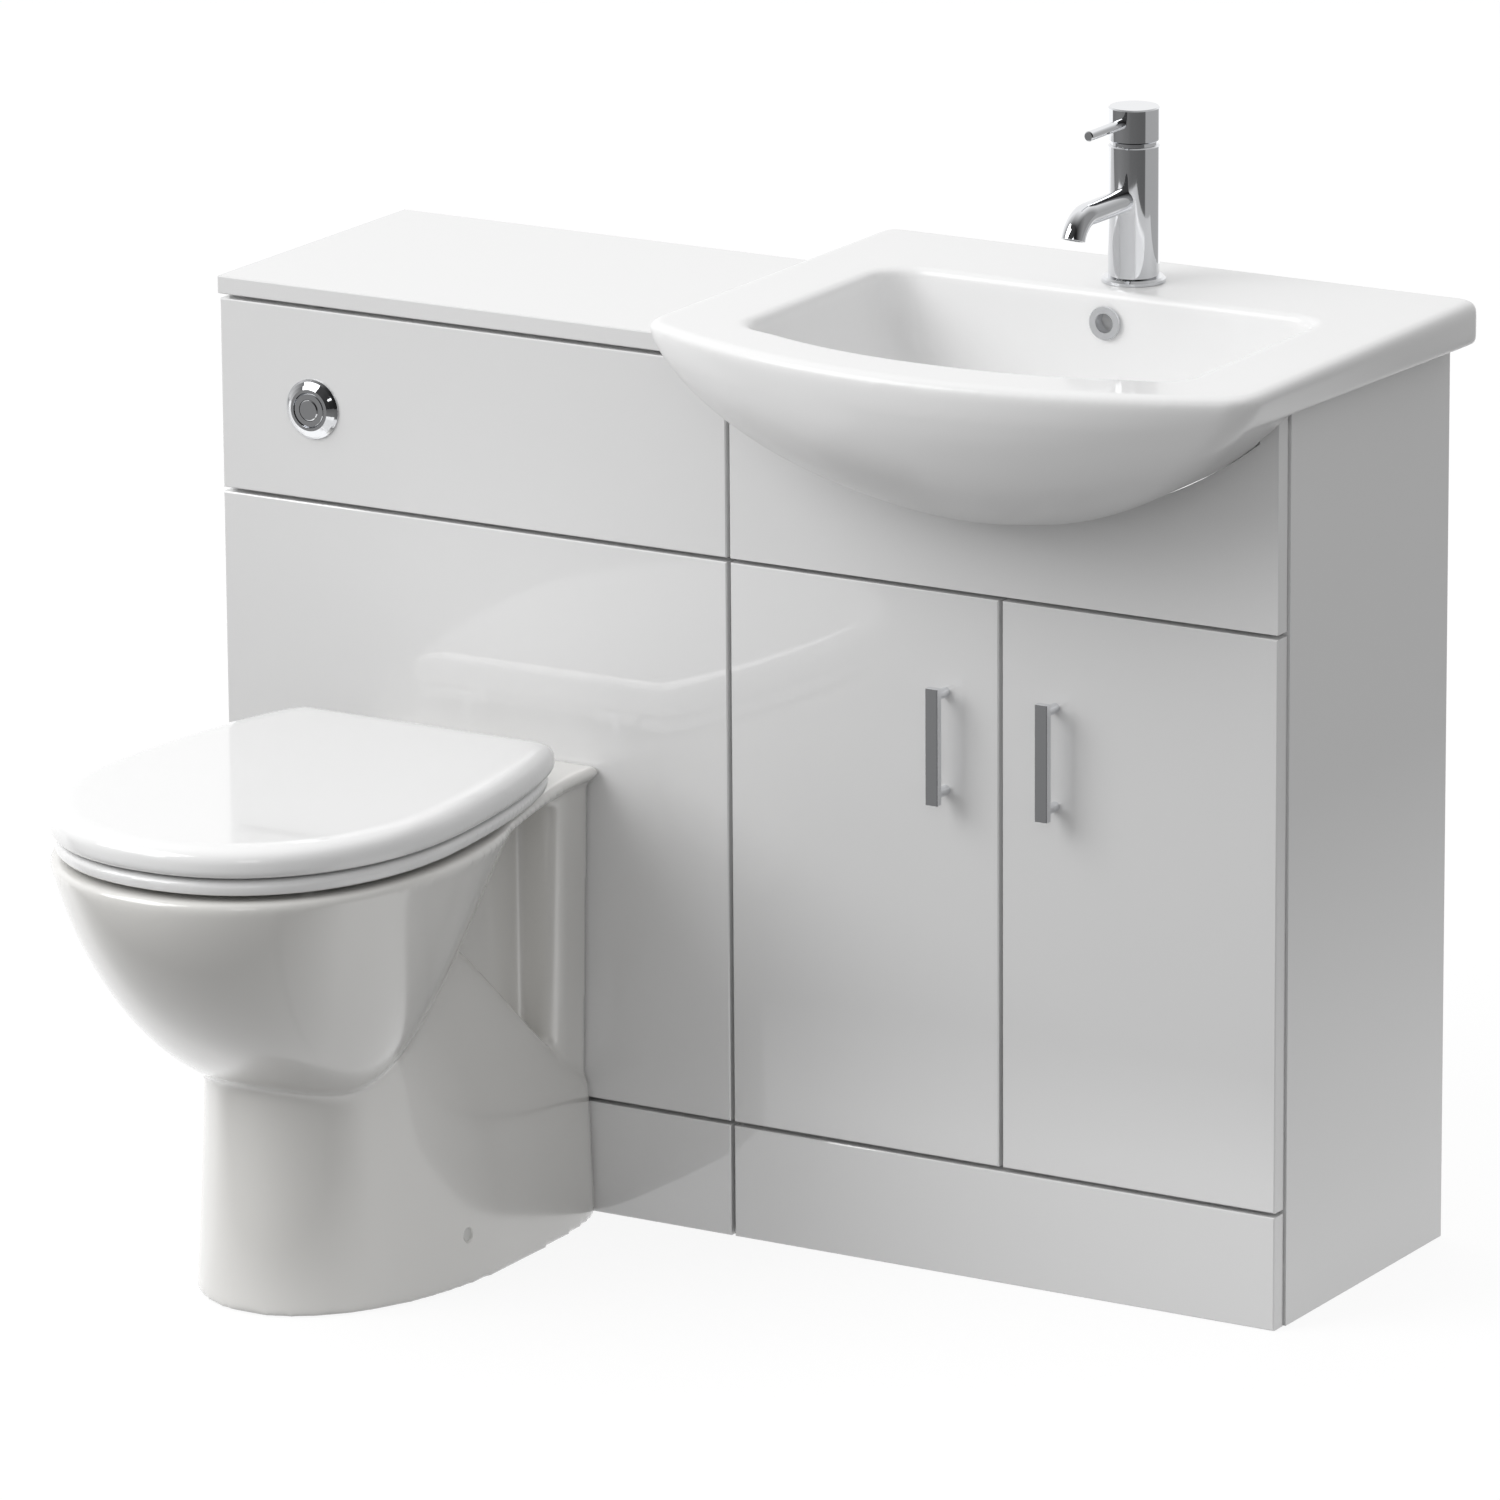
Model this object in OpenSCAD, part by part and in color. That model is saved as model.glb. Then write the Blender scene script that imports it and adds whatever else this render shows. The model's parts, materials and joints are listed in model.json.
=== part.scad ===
// Toilet and basin combination unit: a back-to-wall toilet with its boxed-in cistern
// beside a cupboard with a semi-recessed basin and a mixer tap.
// Origin: on the floor, at the wall, where the two cabinets meet.
// +X runs to the right along the wall, +Y into the wall and +Z up.

/* [Cabinets] */
// Width of the toilet cabinet
wc_w = 517; // [480:1:600]
// Width of the basin cabinet
vanity_w = 533; // [500:1:600]
// Depth of the cabinet frames
carcass_d = 285; // [260:1:330]
// Thickness of the cabinet boards
board_t = 16; // [15:0.5:19]
// Thickness of doors, panels and plinths
front_t = 16; // [15:0.5:19]
// Space between the frames and the fronts, filled by clips and buffers
front_gap = 2; // [1.5:0.5:4]
// Height of the plinths
plinth_h = 100; // [80:1:150]
// Height of the doors
door_h = 499; // [440:1:540]
// Height of the worktop's upper face above the floor
top_h = 796; // [770:1:860]
// Thickness of the worktop
worktop_t = 16; // [12:0.5:25]
// Width of the joints between neighbouring fronts
joint_w = 3.8; // [2.5:0.1:5]
// Size of the eased edge round each front
ease = 1; // [0.5:0.1:2]
// Height of the frame rails
rail_h = 60; // [40:1:80]

/* [Doors] */
// Length of the door handles
handle_l = 102; // [80:1:160]
// Width of the square bar of the handles
handle_bar = 12; // [8:0.5:14]
// Distance of the handle's outer face from the door
handle_out = 25; // [24:1:40]
// Distance of the handles from the middle of the pair of doors
handle_in = 53; // [35:1:80]
// Distance of the handle's upper end below the door's top
handle_drop = 78; // [50:1:120]
// Diameter of the hinge cups
cup_d = 35; // [26:1:35]
// Depth of the hinge cups
cup_depth = 11.5; // [10:0.5:12.5]
// Distance of the hinge cups from the door's ends
cup_end = 90; // [70:1:120]

/* [Basin] */
// Width of the basin
basin_w = 582; // [560:1:640]
// Height of the basin's rim edge
rim_h = 38; // [30:1:50]
// Whole height of the basin
basin_h = 158; // [140:1:180]
// Distance of the rim's front corners from the wall
rim_corner_y = 418; // [400:1:450]
// Distance of the middle of the rim's front from the wall
rim_nose_y = 488; // [460:1:520]
// Wall thickness of the basin
basin_wall = 12; // [9:0.5:16]
// Width of the bowl's opening
bowl_w = 418; // [380:1:440]
// Distance of the bowl's back edge from the wall
bowl_back_y = 128; // [118:1:150]
// Width of the rim in front of the bowl
bowl_front_rim = 65; // [45:1:80]
// Sideways distance of the basin from the middle of its cabinet
basin_shift = 4.5; // [0:0.5:10]
// Distance of the waste from the wall
waste_y = 215; // [200:1:240]
// Distance of the tap from the wall
tap_y = 80; // [70:1:86]
// Diameter of the tap hole
tap_hole_d = 35; // [32:0.5:38]
// Diameter of the overflow hole
overflow_d = 22; // [18:0.5:26]

/* [Tap] */
// Diameter of the tap's body
tap_d = 44; // [38:0.5:50]
// Height of the tap above the basin
tap_h = 152; // [130:1:190]
// Height of the turning cap
cap_h = 29.5; // [26:1:44]
// Diameter of the spout
spout_d = 20.5; // [18:0.5:26]
// Height of the spout's axis above the basin
spout_h = 73.5; // [60:0.5:90]
// Reach of the spout from the tap's axis
spout_reach = 106; // [95:1:140]
// Length of the lever pin
lever_l = 58; // [45:1:80]
// Diameter of the lever pin
lever_d = 8.8; // [6:0.5:12]

/* [Toilet] */
// Sideways distance of the pan from the middle of its cabinet
pan_shift = 9; // [0:0.5:15]
// Height of the pan's rim
pan_h = 406; // [390:1:430]
// Distance of the pan's nose from the cabinet's front
pan_l = 542; // [500:1:570]
// Width of the pan
pan_w = 352; // [345:1:385]
// Width of the pan's deck at the cabinet
deck_w = 240; // [230:1:290]
// Width of the lid
lid_w = 350; // [340:1:372]
// Distance of the lid's back edge from the cabinet's front
lid_back = 90; // [85:1:120]
// Thickness of the lid's edge
lid_t = 25; // [20:0.5:30]
// Thickness of the seat ring
ring_t = 13.5; // [10:0.5:18]
// Width of the pan's foot
foot_w = 256; // [240:1:290]
// Diameter of the pan's outlet
outlet_d = 102; // [98:0.5:106]
// Height of the pan's outlet above the floor
outlet_z = 185; // [170:1:200]
// Distance of the flush inlet below the pan's rim
inlet_drop = 71; // [55:1:90]

/* [Cistern] */
// Width of the cistern
tank_w = 370; // [320:1:400]
// Depth of the cistern
tank_d = 150; // [130:1:170]
// Height of the cistern
tank_h = 270; // [240:1:290]
// Wall thickness of the cistern
tank_wall = 4; // [3:0.5:6]
// Distance of the flush button from the toilet cabinet's left side
button_x = 97; // [80:1:130]
// Height of the flush button above the floor
button_z = 688; // [670:1:700]
// Diameter of the flush button's flange
bezel_d = 53; // [48:0.5:60]

/* [Hidden] */

$fn = 64;
touch = 0.3;              // gap kept between curved faces that nearly touch
run_fit = 0.06;           // radial clearance of a pin in its bore
slide_fit = 0.25;         // clearance of a sliding piece

// Cabinet levels and planes
face_y = -(carcass_d + front_gap + front_t);
front_back_y = -(carcass_d + front_gap);
door_z0 = plinth_h + joint_w;
door_z1 = door_z0 + door_h;
upper_z0 = door_z1 + joint_w;
wc_side_h = top_h - worktop_t;
basin_z = top_h + 1;
side_inset = joint_w / 2;
vanity_cx = vanity_w / 2;
pan_cx = pan_shift - wc_w / 2;
basin_cx = vanity_cx + basin_shift;
rim_top = basin_z + rim_h;
basin_bottom = rim_top - basin_h;
inlet_z = pan_h - inlet_drop;

// ---------- helpers ----------

// Closed skin through rings of points, lowest ring first, each anticlockwise from above
module skin(rings) {
  n = len(rings[0]);
  m = len(rings);
  points = [for (r = rings, p = r) p];
  sides = [for (k = [0:m - 2], i = [0:n - 1])
    let (j = (i + 1) % n, a = k * n + i, b = k * n + j)
    each [[a, a + n, b + n], [a, b + n, b]]];
  bottom = [[for (i = [0:n - 1]) i]];
  top = [[for (i = [n - 1:-1:0]) (m - 1) * n + i]];
  polyhedron(points, concat(bottom, sides, top), convexity = 6);
}

// Power that keeps the sign
function spow(v, e) = sign(v) * pow(abs(v), e);

// Egg-shaped outline about its widest line: half width a, flat back of half width h,
// length c behind and b in front, and fullness m behind and n in front
function egg(a, h, c, b, m = 1.7, n = 2.16, steps = 11) = concat(
  [for (i = [0:steps]) let (t = 90 * i / steps)
    [h + (a - h) * pow(cos(t), 2 / m), c * pow(sin(t), 2 / m)]],
  [for (i = [steps:-1:0]) let (t = 90 * i / steps)
    [-h - (a - h) * pow(cos(t), 2 / m), c * pow(sin(t), 2 / m)]],
  [for (i = [1:2 * steps - 1]) let (t = 180 + 90 * i / steps)
    [a * spow(cos(t), 2 / n), -b * pow(-sin(t), 2 / n)]]);

// An outline placed at a height
function lift(outline, x, y, z) = [for (p = outline) [p[0] + x, p[1] + y, z]];

// Shrink factor from 1 at the top to 0 at the bottom of a rounded bowl
function bowl_factor(u, p, q) = pow(max(0, 1 - pow(u, p)), 1 / q);

// Board with its front edges eased: front face on y = 0, body towards +Y
module eased_board(w, t, h) {
  intersection() {
    linear_extrude(h)
      polygon([[ease, 0], [w - ease, 0], [w, ease], [w, t], [0, t], [0, ease]]);
    translate([w, 0, 0]) rotate([0, -90, 0]) linear_extrude(w)
      polygon([[ease, 0], [h - ease, 0], [h, ease], [h, t], [0, t], [0, ease]]);
  }
}

module board(x0, x1, y0, y1, z0, z1) {
  translate([x0, y0, z0]) cube([x1 - x0, y1 - y0, z1 - z0]);
}

// Cylinder along +Y from y0 to y1
module y_rod(x, y0, y1, z, d) {
  translate([x, y0, z]) rotate([-90, 0, 0]) cylinder(d = d, h = y1 - y0);
}

// Cylinder along +X from x0 to x1
module x_rod(x0, x1, y, z, d) {
  translate([x0, y, z]) rotate([0, 90, 0]) cylinder(d = d, h = x1 - x0);
}

module at_front_panel(x0, z0) {
  translate([x0, face_y, z0]) children();
}

// ---------- toilet cabinet ----------

wc_panel_w = wc_w - 2 * side_inset;
connector_d = outlet_d + 14;
rail_clear = 5;           // space of the front rails round the pan connector and the button
wc_front_rail_z = [outlet_z - connector_d / 2 - rail_clear - rail_h,
  upper_z0 - joint_w / 2 - rail_h / 2, wc_side_h - rail_h];
pan_hole_d = outlet_d + 26;
inlet_hole_d = 60;

module wc_sides() {
  color("white") for (x = [-wc_w, -board_t])
    board(x, x + board_t, -carcass_d, 0, 0, wc_side_h);
}

module wc_front_rails() {
  color("white") difference() {
    for (z = wc_front_rail_z)
      board(-wc_w + board_t, -board_t, -carcass_d, -carcass_d + board_t, z, z + rail_h);
    // room for the flush button's nut
    y_rod(-wc_w + button_x, -carcass_d - 1, -carcass_d + board_t + 1, button_z,
      button_nut_d + 2 * rail_clear);
  }
}

// Two upright rails at the wall, and one lying flat that carries the cistern
module wc_back_rails() {
  color("white") {
    for (z = [plinth_h / 2, wc_side_h - rail_h])
      board(-wc_w + board_t, -board_t, -board_t, 0, z, z + rail_h);
    board(-wc_w + board_t, -board_t, -rail_h, 0, tank_z0 - board_t, tank_z0);
  }
}

// Worktop, flush with the panels in front
module worktop() {
  color("white") translate([-wc_w, face_y, wc_side_h])
    rotate([90, 0, 90]) linear_extrude(wc_w)
      polygon([[0, ease], [ease, 0], [-face_y, 0],
        [-face_y, worktop_t], [ease, worktop_t], [0, worktop_t - ease]]);
}

module wc_upper_panel() {
  color("white") difference() {
    at_front_panel(-wc_w + side_inset, upper_z0)
      eased_board(wc_panel_w, front_t, wc_side_h - joint_w - upper_z0);
    y_rod(-wc_w + button_x, face_y - 1, front_back_y + 1, button_z, barrel_d + 1);
  }
}

module wc_lower_panel() {
  color("white") difference() {
    at_front_panel(-wc_w + side_inset, door_z0) eased_board(wc_panel_w, front_t, door_h);
    y_rod(pan_cx, face_y - 1, front_back_y + 1, outlet_z, pan_hole_d);
    y_rod(pan_cx, face_y - 1, front_back_y + 1, inlet_z, inlet_hole_d);
  }
}

module wc_plinth() {
  color("white") at_front_panel(-wc_w + side_inset, 0)
    eased_board(wc_panel_w, front_t, plinth_h);
}

// ---------- basin cabinet ----------

vanity_panel_w = vanity_w - 2 * side_inset;
base_z = plinth_h - board_t / 2;
vanity_rail_z = upper_z0 - joint_w / 2 - rail_h / 2;
back_panel_t = 6;
back_panel_in = 40;       // space for pipes behind the back panel
back_panel_y = -back_panel_in - back_panel_t;
service_w = 200;
service_h = 140;

module vanity_sides() {
  color("white") for (x = [0, vanity_w - board_t])
    board(x, x + board_t, -carcass_d, 0, 0, basin_z);
}

module vanity_base() {
  color("white") board(board_t, vanity_w - board_t, -carcass_d, 0, base_z, base_z + board_t);
}

module vanity_front_rail() {
  color("white") board(board_t, vanity_w - board_t, -carcass_d, -carcass_d + board_t,
    vanity_rail_z, vanity_rail_z + rail_h);
}

module vanity_back_rail() {
  color("white") board(board_t, vanity_w - board_t, -board_t, 0, basin_z - rail_h, basin_z);
}

// Back panel with a notch for the supply pipes
module vanity_back_panel() {
  color("white") difference() {
    board(board_t, vanity_w - board_t, back_panel_y, back_panel_y + back_panel_t,
      base_z + board_t, vanity_rail_z);
    board(basin_cx - service_w / 2, basin_cx + service_w / 2, back_panel_y - 1,
      back_panel_y + back_panel_t + 1, vanity_rail_z - service_h, vanity_rail_z + 1);
  }
}

module vanity_fascia() {
  color("white") difference() {
    at_front_panel(side_inset, upper_z0)
      eased_board(vanity_panel_w, front_t, basin_z - 2 - upper_z0);
    basin_rear_body(fascia_clear);
  }
}

module vanity_plinth() {
  color("white") at_front_panel(side_inset, 0)
    eased_board(vanity_panel_w, front_t, plinth_h);
}

// Clips that hold the fixed fronts to the frame's boards
clip_d = 12;
clip_in = 60;             // distance of the clips from the ends of the rails
clip_drop = 10;           // distance of the clips from the joint between two fronts
module clip(x, z) {
  y_rod(x, front_back_y, -carcass_d, z, clip_d);
}

module panel_clips() {
  wc_clip_z = [plinth_h - clip_drop, door_z0 + clip_drop, door_z1 - clip_drop,
    upper_z0 + clip_drop, wc_side_h - rail_h / 2];
  side_clip_x = [board_t / 2 + 1, vanity_w - board_t / 2 - 1];
  color("silver") {
    for (x = [-wc_w + clip_in, -clip_in], z = wc_clip_z) clip(x, z);
    for (x = [clip_in, vanity_w - clip_in]) clip(x, upper_z0 + clip_drop);
    for (x = side_clip_x, z = [plinth_h / 2, basin_z - 2 * clip_drop]) clip(x, z);
  }
}

// ---------- doors ----------

door_w = (vanity_w - 2 * side_inset - joint_w) / 2;
left_door_x = side_inset;
right_door_x = vanity_cx + joint_w / 2;
cup_edge = 5;             // distance of a hinge cup from the door's side
cup_x = cup_edge + cup_d / 2;
cup_zs = [door_z0 + cup_end, door_z1 - cup_end];

// Door with its left side on x0 and its hinge cups on the line x = cups_x
module door(x0, cups_x) {
  color("white") difference() {
    at_front_panel(x0, door_z0) eased_board(door_w, front_t, door_h);
    for (z = cup_zs)
      y_rod(cups_x, front_back_y - cup_depth, front_back_y + 1, z, cup_d);
  }
}

module left_door() { door(left_door_x, left_door_x + cup_x); }
module right_door() { door(right_door_x, right_door_x + door_w - cup_x); }

handle_z1 = door_z1 - handle_drop;
handle_post_d = 9;
handle_post_in = 8;
module handle(x) {
  color("silver") {
    translate([x - handle_bar / 2, face_y - handle_out, handle_z1 - handle_l])
      eased_bar(handle_bar, handle_bar * 0.6, handle_l, 0.6);
    for (z = [handle_z1 - handle_post_in, handle_z1 - handle_l + handle_post_in])
      y_rod(x, face_y - handle_out + handle_bar * 0.5, face_y, z, handle_post_d);
  }
}

// Square bar with all long edges eased
module eased_bar(w, t, h, e) {
  linear_extrude(h) polygon([[e, 0], [w - e, 0], [w, e], [w, t - e], [w - e, t],
    [e, t], [0, t - e], [0, e]]);
}

module left_handle() { handle(vanity_cx - handle_in); }
module right_handle() { handle(vanity_cx + handle_in); }

// Concealed hinge cup: a hollow steel cup with a flange on the door's back
cup_flange_t = 1.5;
cup_flange_h = 52;
module hinge_cup(x, z) {
  difference() {
    union() {
      y_rod(x, front_back_y - cup_depth, front_back_y, z, cup_d);
      translate([x - cup_d / 2 - 3, front_back_y, z - cup_flange_h / 2])
        cube([cup_d + 6, cup_flange_t, cup_flange_h]);
    }
    translate([x - cup_d / 2 + 5, front_back_y - cup_depth + 1.2, z - 11])
      cube([cup_d - 10, cup_depth + 4, 22]);
  }
}

module left_hinge_cups() {
  color("silver") for (z = cup_zs) hinge_cup(left_door_x + cup_x, z);
}

module right_hinge_cups() {
  color("silver") for (z = cup_zs) hinge_cup(right_door_x + door_w - cup_x, z);
}

// Hinge arm and mounting plate on the cabinet's side; dir = 1 on the left side
arm_w = 16;
arm_nose = 7;             // length of the arm's nose inside the cup
plate_back = 22;          // distance of the mounting plate behind the frame's front
module hinge_arm(x_side, dir, z) {
  plate_y = -carcass_d + plate_back;
  nose_x = side_inset + cup_x + 6 - board_t;
  translate([x_side, 0, z]) scale([dir, 1, 1]) {
    translate([0, plate_y, -18]) cube([6, 40, 36]);
    translate([0, plate_y + 8, -9]) cube([12, 48, 18]);
    translate([0, 0, -arm_w / 2]) linear_extrude(arm_w) polygon([
      [6, plate_y - 6], [12, plate_y - 8], [nose_x - arm_nose, front_back_y + 4],
      [nose_x - arm_nose, front_back_y - 6], [nose_x, front_back_y - 6],
      [nose_x, front_back_y + 8], [18, plate_y + 4], [18, plate_y + 50], [6, plate_y + 50]]);
  }
}

module hinge_arms() {
  color("silver") for (z = cup_zs) {
    hinge_arm(board_t, 1, z);
    hinge_arm(vanity_w - board_t, -1, z);
  }
}

// Soft buffers that the closed doors rest on
module door_buffers() {
  color("gainsboro") for (dx = [-1, 1], z = [base_z + board_t / 2 + 4, vanity_rail_z + 8])
    y_rod(vanity_cx + dx * 22, front_back_y, -carcass_d, z, 7);
}

// ---------- basin ----------

fascia_clear = 2.5;
rim_corner_r = 40;

// Radius and centre of the bowed front
bow_half = basin_w / 2 - rim_corner_r * 0.4;
bow_sag = rim_nose_y - rim_corner_y;
bow_r = (bow_half * bow_half + bow_sag * bow_sag) / (2 * bow_sag);

// Points of the rim's outline from the right back corner round the front, drawn in by an inset
function rim_outline(inset = 0, sides = 7, front = 20) =
  let (w = basin_w / 2 - inset, rc = rim_corner_r - min(inset, rim_corner_r - 8),
    br = bow_r - inset, cy = -rim_nose_y + bow_r,
    // the corner circle touches the side and the bowed front from inside
    cx = w - rc, ccy = cy - sqrt(pow(br - rc, 2) - cx * cx),
    turn = asin(cx / (br - rc)), back_r = 10, back_y = -inset * 0.2)
  concat(
    [for (i = [0:3]) let (t = 30 * i)
      [w - back_r + back_r * cos(t), back_y - back_r + back_r * sin(t)]],
    [for (i = [0:3]) let (t = 90 + 30 * i)
      [-w + back_r + back_r * cos(t), back_y - back_r + back_r * sin(t)]],
    [for (i = [0:sides]) let (t = 180 + (90 - turn) * i / sides)
      [-cx + rc * cos(t), ccy + rc * sin(t)]],
    [for (i = [1:front - 1]) let (t = 270 - turn + 2 * turn * i / front)
      [br * cos(t), cy + br * sin(t)]],
    [for (i = [0:sides]) let (t = 270 + turn + (90 - turn) * i / sides)
      [cx + rc * cos(t), ccy + rc * sin(t)]]);

rim_round = 9;
module basin_rim() {
  low_round = 5;
  rings = concat(
    [for (i = [0:2]) let (t = 45 * i)
      lift(rim_outline(low_round * (1 - sin(t))), basin_cx, 0, basin_z + low_round * (1 - cos(t)))],
    [for (i = [0:4]) let (t = 22.5 * i)
      lift(rim_outline(rim_round * (1 - cos(t))), basin_cx, 0,
        rim_top - rim_round * (1 - sin(t)))]);
  skin(rings);
}

// Rounded body under the rim, drawn in from the rim's outline towards its lowest point
belly_steps = 12;
belly_bottom_y = 300;
function belly_ring(u, grow) =
  let (s = bowl_factor(u, 2.1, 2.0), o = rim_outline(2))
  [for (p = o) [basin_cx + p[0] * s + sign(p[0]) * grow,
    -belly_bottom_y + (p[1] + belly_bottom_y) * s - grow,
    basin_z + 8 - u * (basin_z + 8 - basin_bottom) - grow * u]];

module basin_belly(grow = 0) {
  skin([for (i = [belly_steps:-1:0]) belly_ring(0.985 * sin(90 * i / belly_steps), grow)]);
}

// The part of the body that passes between the cabinet's sides
body_side_gap = 5;
module basin_rear_body(grow = 0) {
  intersection() {
    basin_belly(grow);
    board(board_t + body_side_gap - grow, vanity_w - board_t - body_side_gap + grow,
      -rim_nose_y, -bowl_back_y + 34, basin_bottom - 10, rim_top);
  }
}

module basin_front_body() {
  intersection() {
    basin_belly();
    board(-100, vanity_w + 100, -rim_nose_y - 10, face_y - 1.5, basin_bottom - 1, rim_top);
  }
}

// Opening of the bowl as a rounded, bowed outline, scaled from its opening by s
bowl_corner_r = 34;
bowl_depth = basin_h - basin_wall - 14;
function bowl_outline(s) =
  let (w = bowl_w / 2, y0 = -bowl_back_y, y1 = -rim_nose_y + bowl_front_rim,
    mid = (y0 + y1) / 2, sag = 34, rc = bowl_corner_r, n = 5)
  let (o = concat(
    [for (i = [0:n]) let (t = 90 * i / n) [w - rc + rc * cos(t), y0 - rc + rc * sin(t)]],
    [for (i = [0:n]) let (t = 90 + 90 * i / n) [-w + rc + rc * cos(t), y0 - rc + rc * sin(t)]],
    [for (i = [0:n]) let (t = 180 + 78 * i / n)
      [-w + rc + rc * cos(t), y1 + sag + rc * (1 + sin(t))]],
    [for (i = [1:13]) let (v = (i - 7) / 7, x = (w - rc) * v)
      [x, y1 + sag * pow(abs(v), 2.2)]],
    [for (i = [0:n]) let (t = 282 + 78 * i / n)
      [w - rc + rc * cos(t), y1 + sag + rc * (1 + sin(t))]]))
  [for (p = o) [p[0] * s[0], bowl_waste_y + (p[1] - bowl_waste_y) * s[1]]];

bowl_waste_y = -waste_y;
bowl_lip = 8;
floor_scale = [0.2, 0.42]; // width and depth of the bowl's floor against its opening
bowl_floor_z = rim_top - bowl_depth;
module basin_bowl() {
  function grown(g) = bowl_outline([1 + g / (bowl_w / 2), 1 + g / 150]);
  walls = [for (i = [0:8]) let (u = i / 8, f = bowl_factor(1 - u, 2.6, 2.2))
    lift(bowl_outline([for (b = floor_scale) b + (1 - b) * f]), basin_cx, 0,
      bowl_floor_z + (bowl_depth - bowl_lip) * u)];
  mouth = [for (i = [1:4]) let (t = 22.5 * i)
    lift(grown(bowl_lip * (1 - cos(t))), basin_cx, 0, rim_top - bowl_lip * (1 - sin(t)))];
  skin(concat(walls, mouth, [lift(grown(1.6 * bowl_lip), basin_cx, 0, rim_top + 1)]));
}

waste_d = 45;
boss_d = 74;
boss_drop = 4;            // depth of the waste's boss under the basin's body
deck_t = 14;              // thickness of the basin under the tap
tap_pocket_d = 60;
overflow_drop = 27;       // depth of the overflow hole below the rim
overflow_z = rim_top - overflow_drop;
channel_d = 8;            // bore of the overflow channel behind the bowl

// Overflow channel from the hole down behind the bowl to the waste
module overflow_channel() {
  translate([basin_cx, -bowl_back_y + 9, bowl_floor_z + 19])
    cylinder(d = channel_d, h = overflow_z - bowl_floor_z - 19);
  rod([basin_cx, bowl_waste_y + 103, bowl_floor_z + 32.5],
    [basin_cx, bowl_waste_y + 59, bowl_floor_z - 2], channel_d);
  rod([basin_cx, bowl_waste_y + 72, bowl_floor_z + 6.5],
    [basin_cx, bowl_waste_y + 19, bowl_floor_z - 11], channel_d);
}

module basin() {
  color("white") difference() {
    union() {
      basin_rim();
      basin_rear_body();
      basin_front_body();
      translate([basin_cx, bowl_waste_y, basin_bottom - boss_drop]) cylinder(d = boss_d, h = 20);
    }
    basin_bowl();
    translate([basin_cx, bowl_waste_y, basin_bottom - 10]) cylinder(d = waste_d, h = 60);
    translate([basin_cx, -tap_y, basin_z - 1]) cylinder(d = tap_hole_d, h = rim_h + 2);
    y_rod(basin_cx, -bowl_back_y - 40, -bowl_back_y + 12, overflow_z, overflow_d);
    overflow_channel();
    // pocket under the deck, round the tap's nut
    translate([basin_cx, -tap_y, basin_z - 1]) cylinder(d = tap_pocket_d, h = rim_h + 1 - deck_t);
  }
}

overflow_out = 3;
overflow_flange = 3.5;    // width of the ring's flange round the hole
module overflow_ring() {
  back = -bowl_back_y - 1;
  color("silver") difference() {
    union() {
      y_rod(basin_cx, back - overflow_out, back, overflow_z, overflow_d + 2 * overflow_flange);
      y_rod(basin_cx, back - 1, back + 9, overflow_z, overflow_d - 0.2);
    }
    y_rod(basin_cx, back - overflow_out - 1, back + 10, overflow_z, overflow_d - 5);
  }
}

// ---------- waste and trap ----------

waste_flange_d = 63;
waste_flange_t = 2.5;
waste_tube_d = 42;
waste_tube_l = 62;
waste_bore_d = waste_tube_d - 5;
grid_drop = 12;           // depth of the waste's cross-grid below the bowl's floor
grid_t = 4;

module waste_body() {
  color("silver") translate([basin_cx, bowl_waste_y, bowl_floor_z]) difference() {
    union() {
      translate([0, 0, touch])
        cylinder(d1 = waste_flange_d, d2 = waste_flange_d - 4, h = waste_flange_t);
      translate([0, 0, -waste_tube_l]) cylinder(d = waste_tube_d, h = waste_tube_l + 1);
    }
    translate([0, 0, -waste_tube_l - 1])
      cylinder(d = waste_bore_d, h = waste_tube_l + 1 - grid_drop - grid_t);
    translate([0, 0, -grid_drop]) cylinder(d = waste_bore_d, h = grid_drop + waste_flange_t + 1);
    for (a = [0:60:300]) rotate(a) translate([waste_bore_d / 3.2, 0, -grid_drop - grid_t - 1])
      cylinder(d = 8, h = grid_t + 2);
    translate([0, 0, -grid_drop - grid_t - 1]) cylinder(d = stem_d + 2 * slide_fit, h = grid_t + 2);
    // overflow slots through the tube
    for (a = [0, 90]) rotate(a)
      translate([-waste_tube_d, -4, -grid_drop - grid_t - 13]) cube([2 * waste_tube_d, 8, 10]);
  }
}

stem_d = 6;
plug_seat = touch + waste_flange_t + touch;
module waste_plug() {
  plug_r = waste_flange_d / 2 - 4;
  color("silver") translate([basin_cx, bowl_waste_y, bowl_floor_z + plug_seat]) {
    rotate_extrude() polygon([[0, 0], [plug_r, 0], [plug_r + 1, 1.5],
      [plug_r - 1, 3.5], [20, 5.2], [10, 6], [0, 6.2]]);
    translate([0, 0, -28]) cylinder(d = stem_d, h = 28.5);
  }
}

nut_h = 15;
module waste_nut() {
  color("gainsboro") translate([basin_cx, bowl_waste_y, basin_bottom - boss_drop - nut_h])
    difference() {
      union() {
        cylinder(d = 62, h = nut_h - 5, $fn = 8);
        translate([0, 0, nut_h - 5]) cylinder(d = 60, h = 5);
      }
      translate([0, 0, -1]) cylinder(d = waste_tube_d + 0.2, h = nut_h + 2);
    }
}

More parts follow.
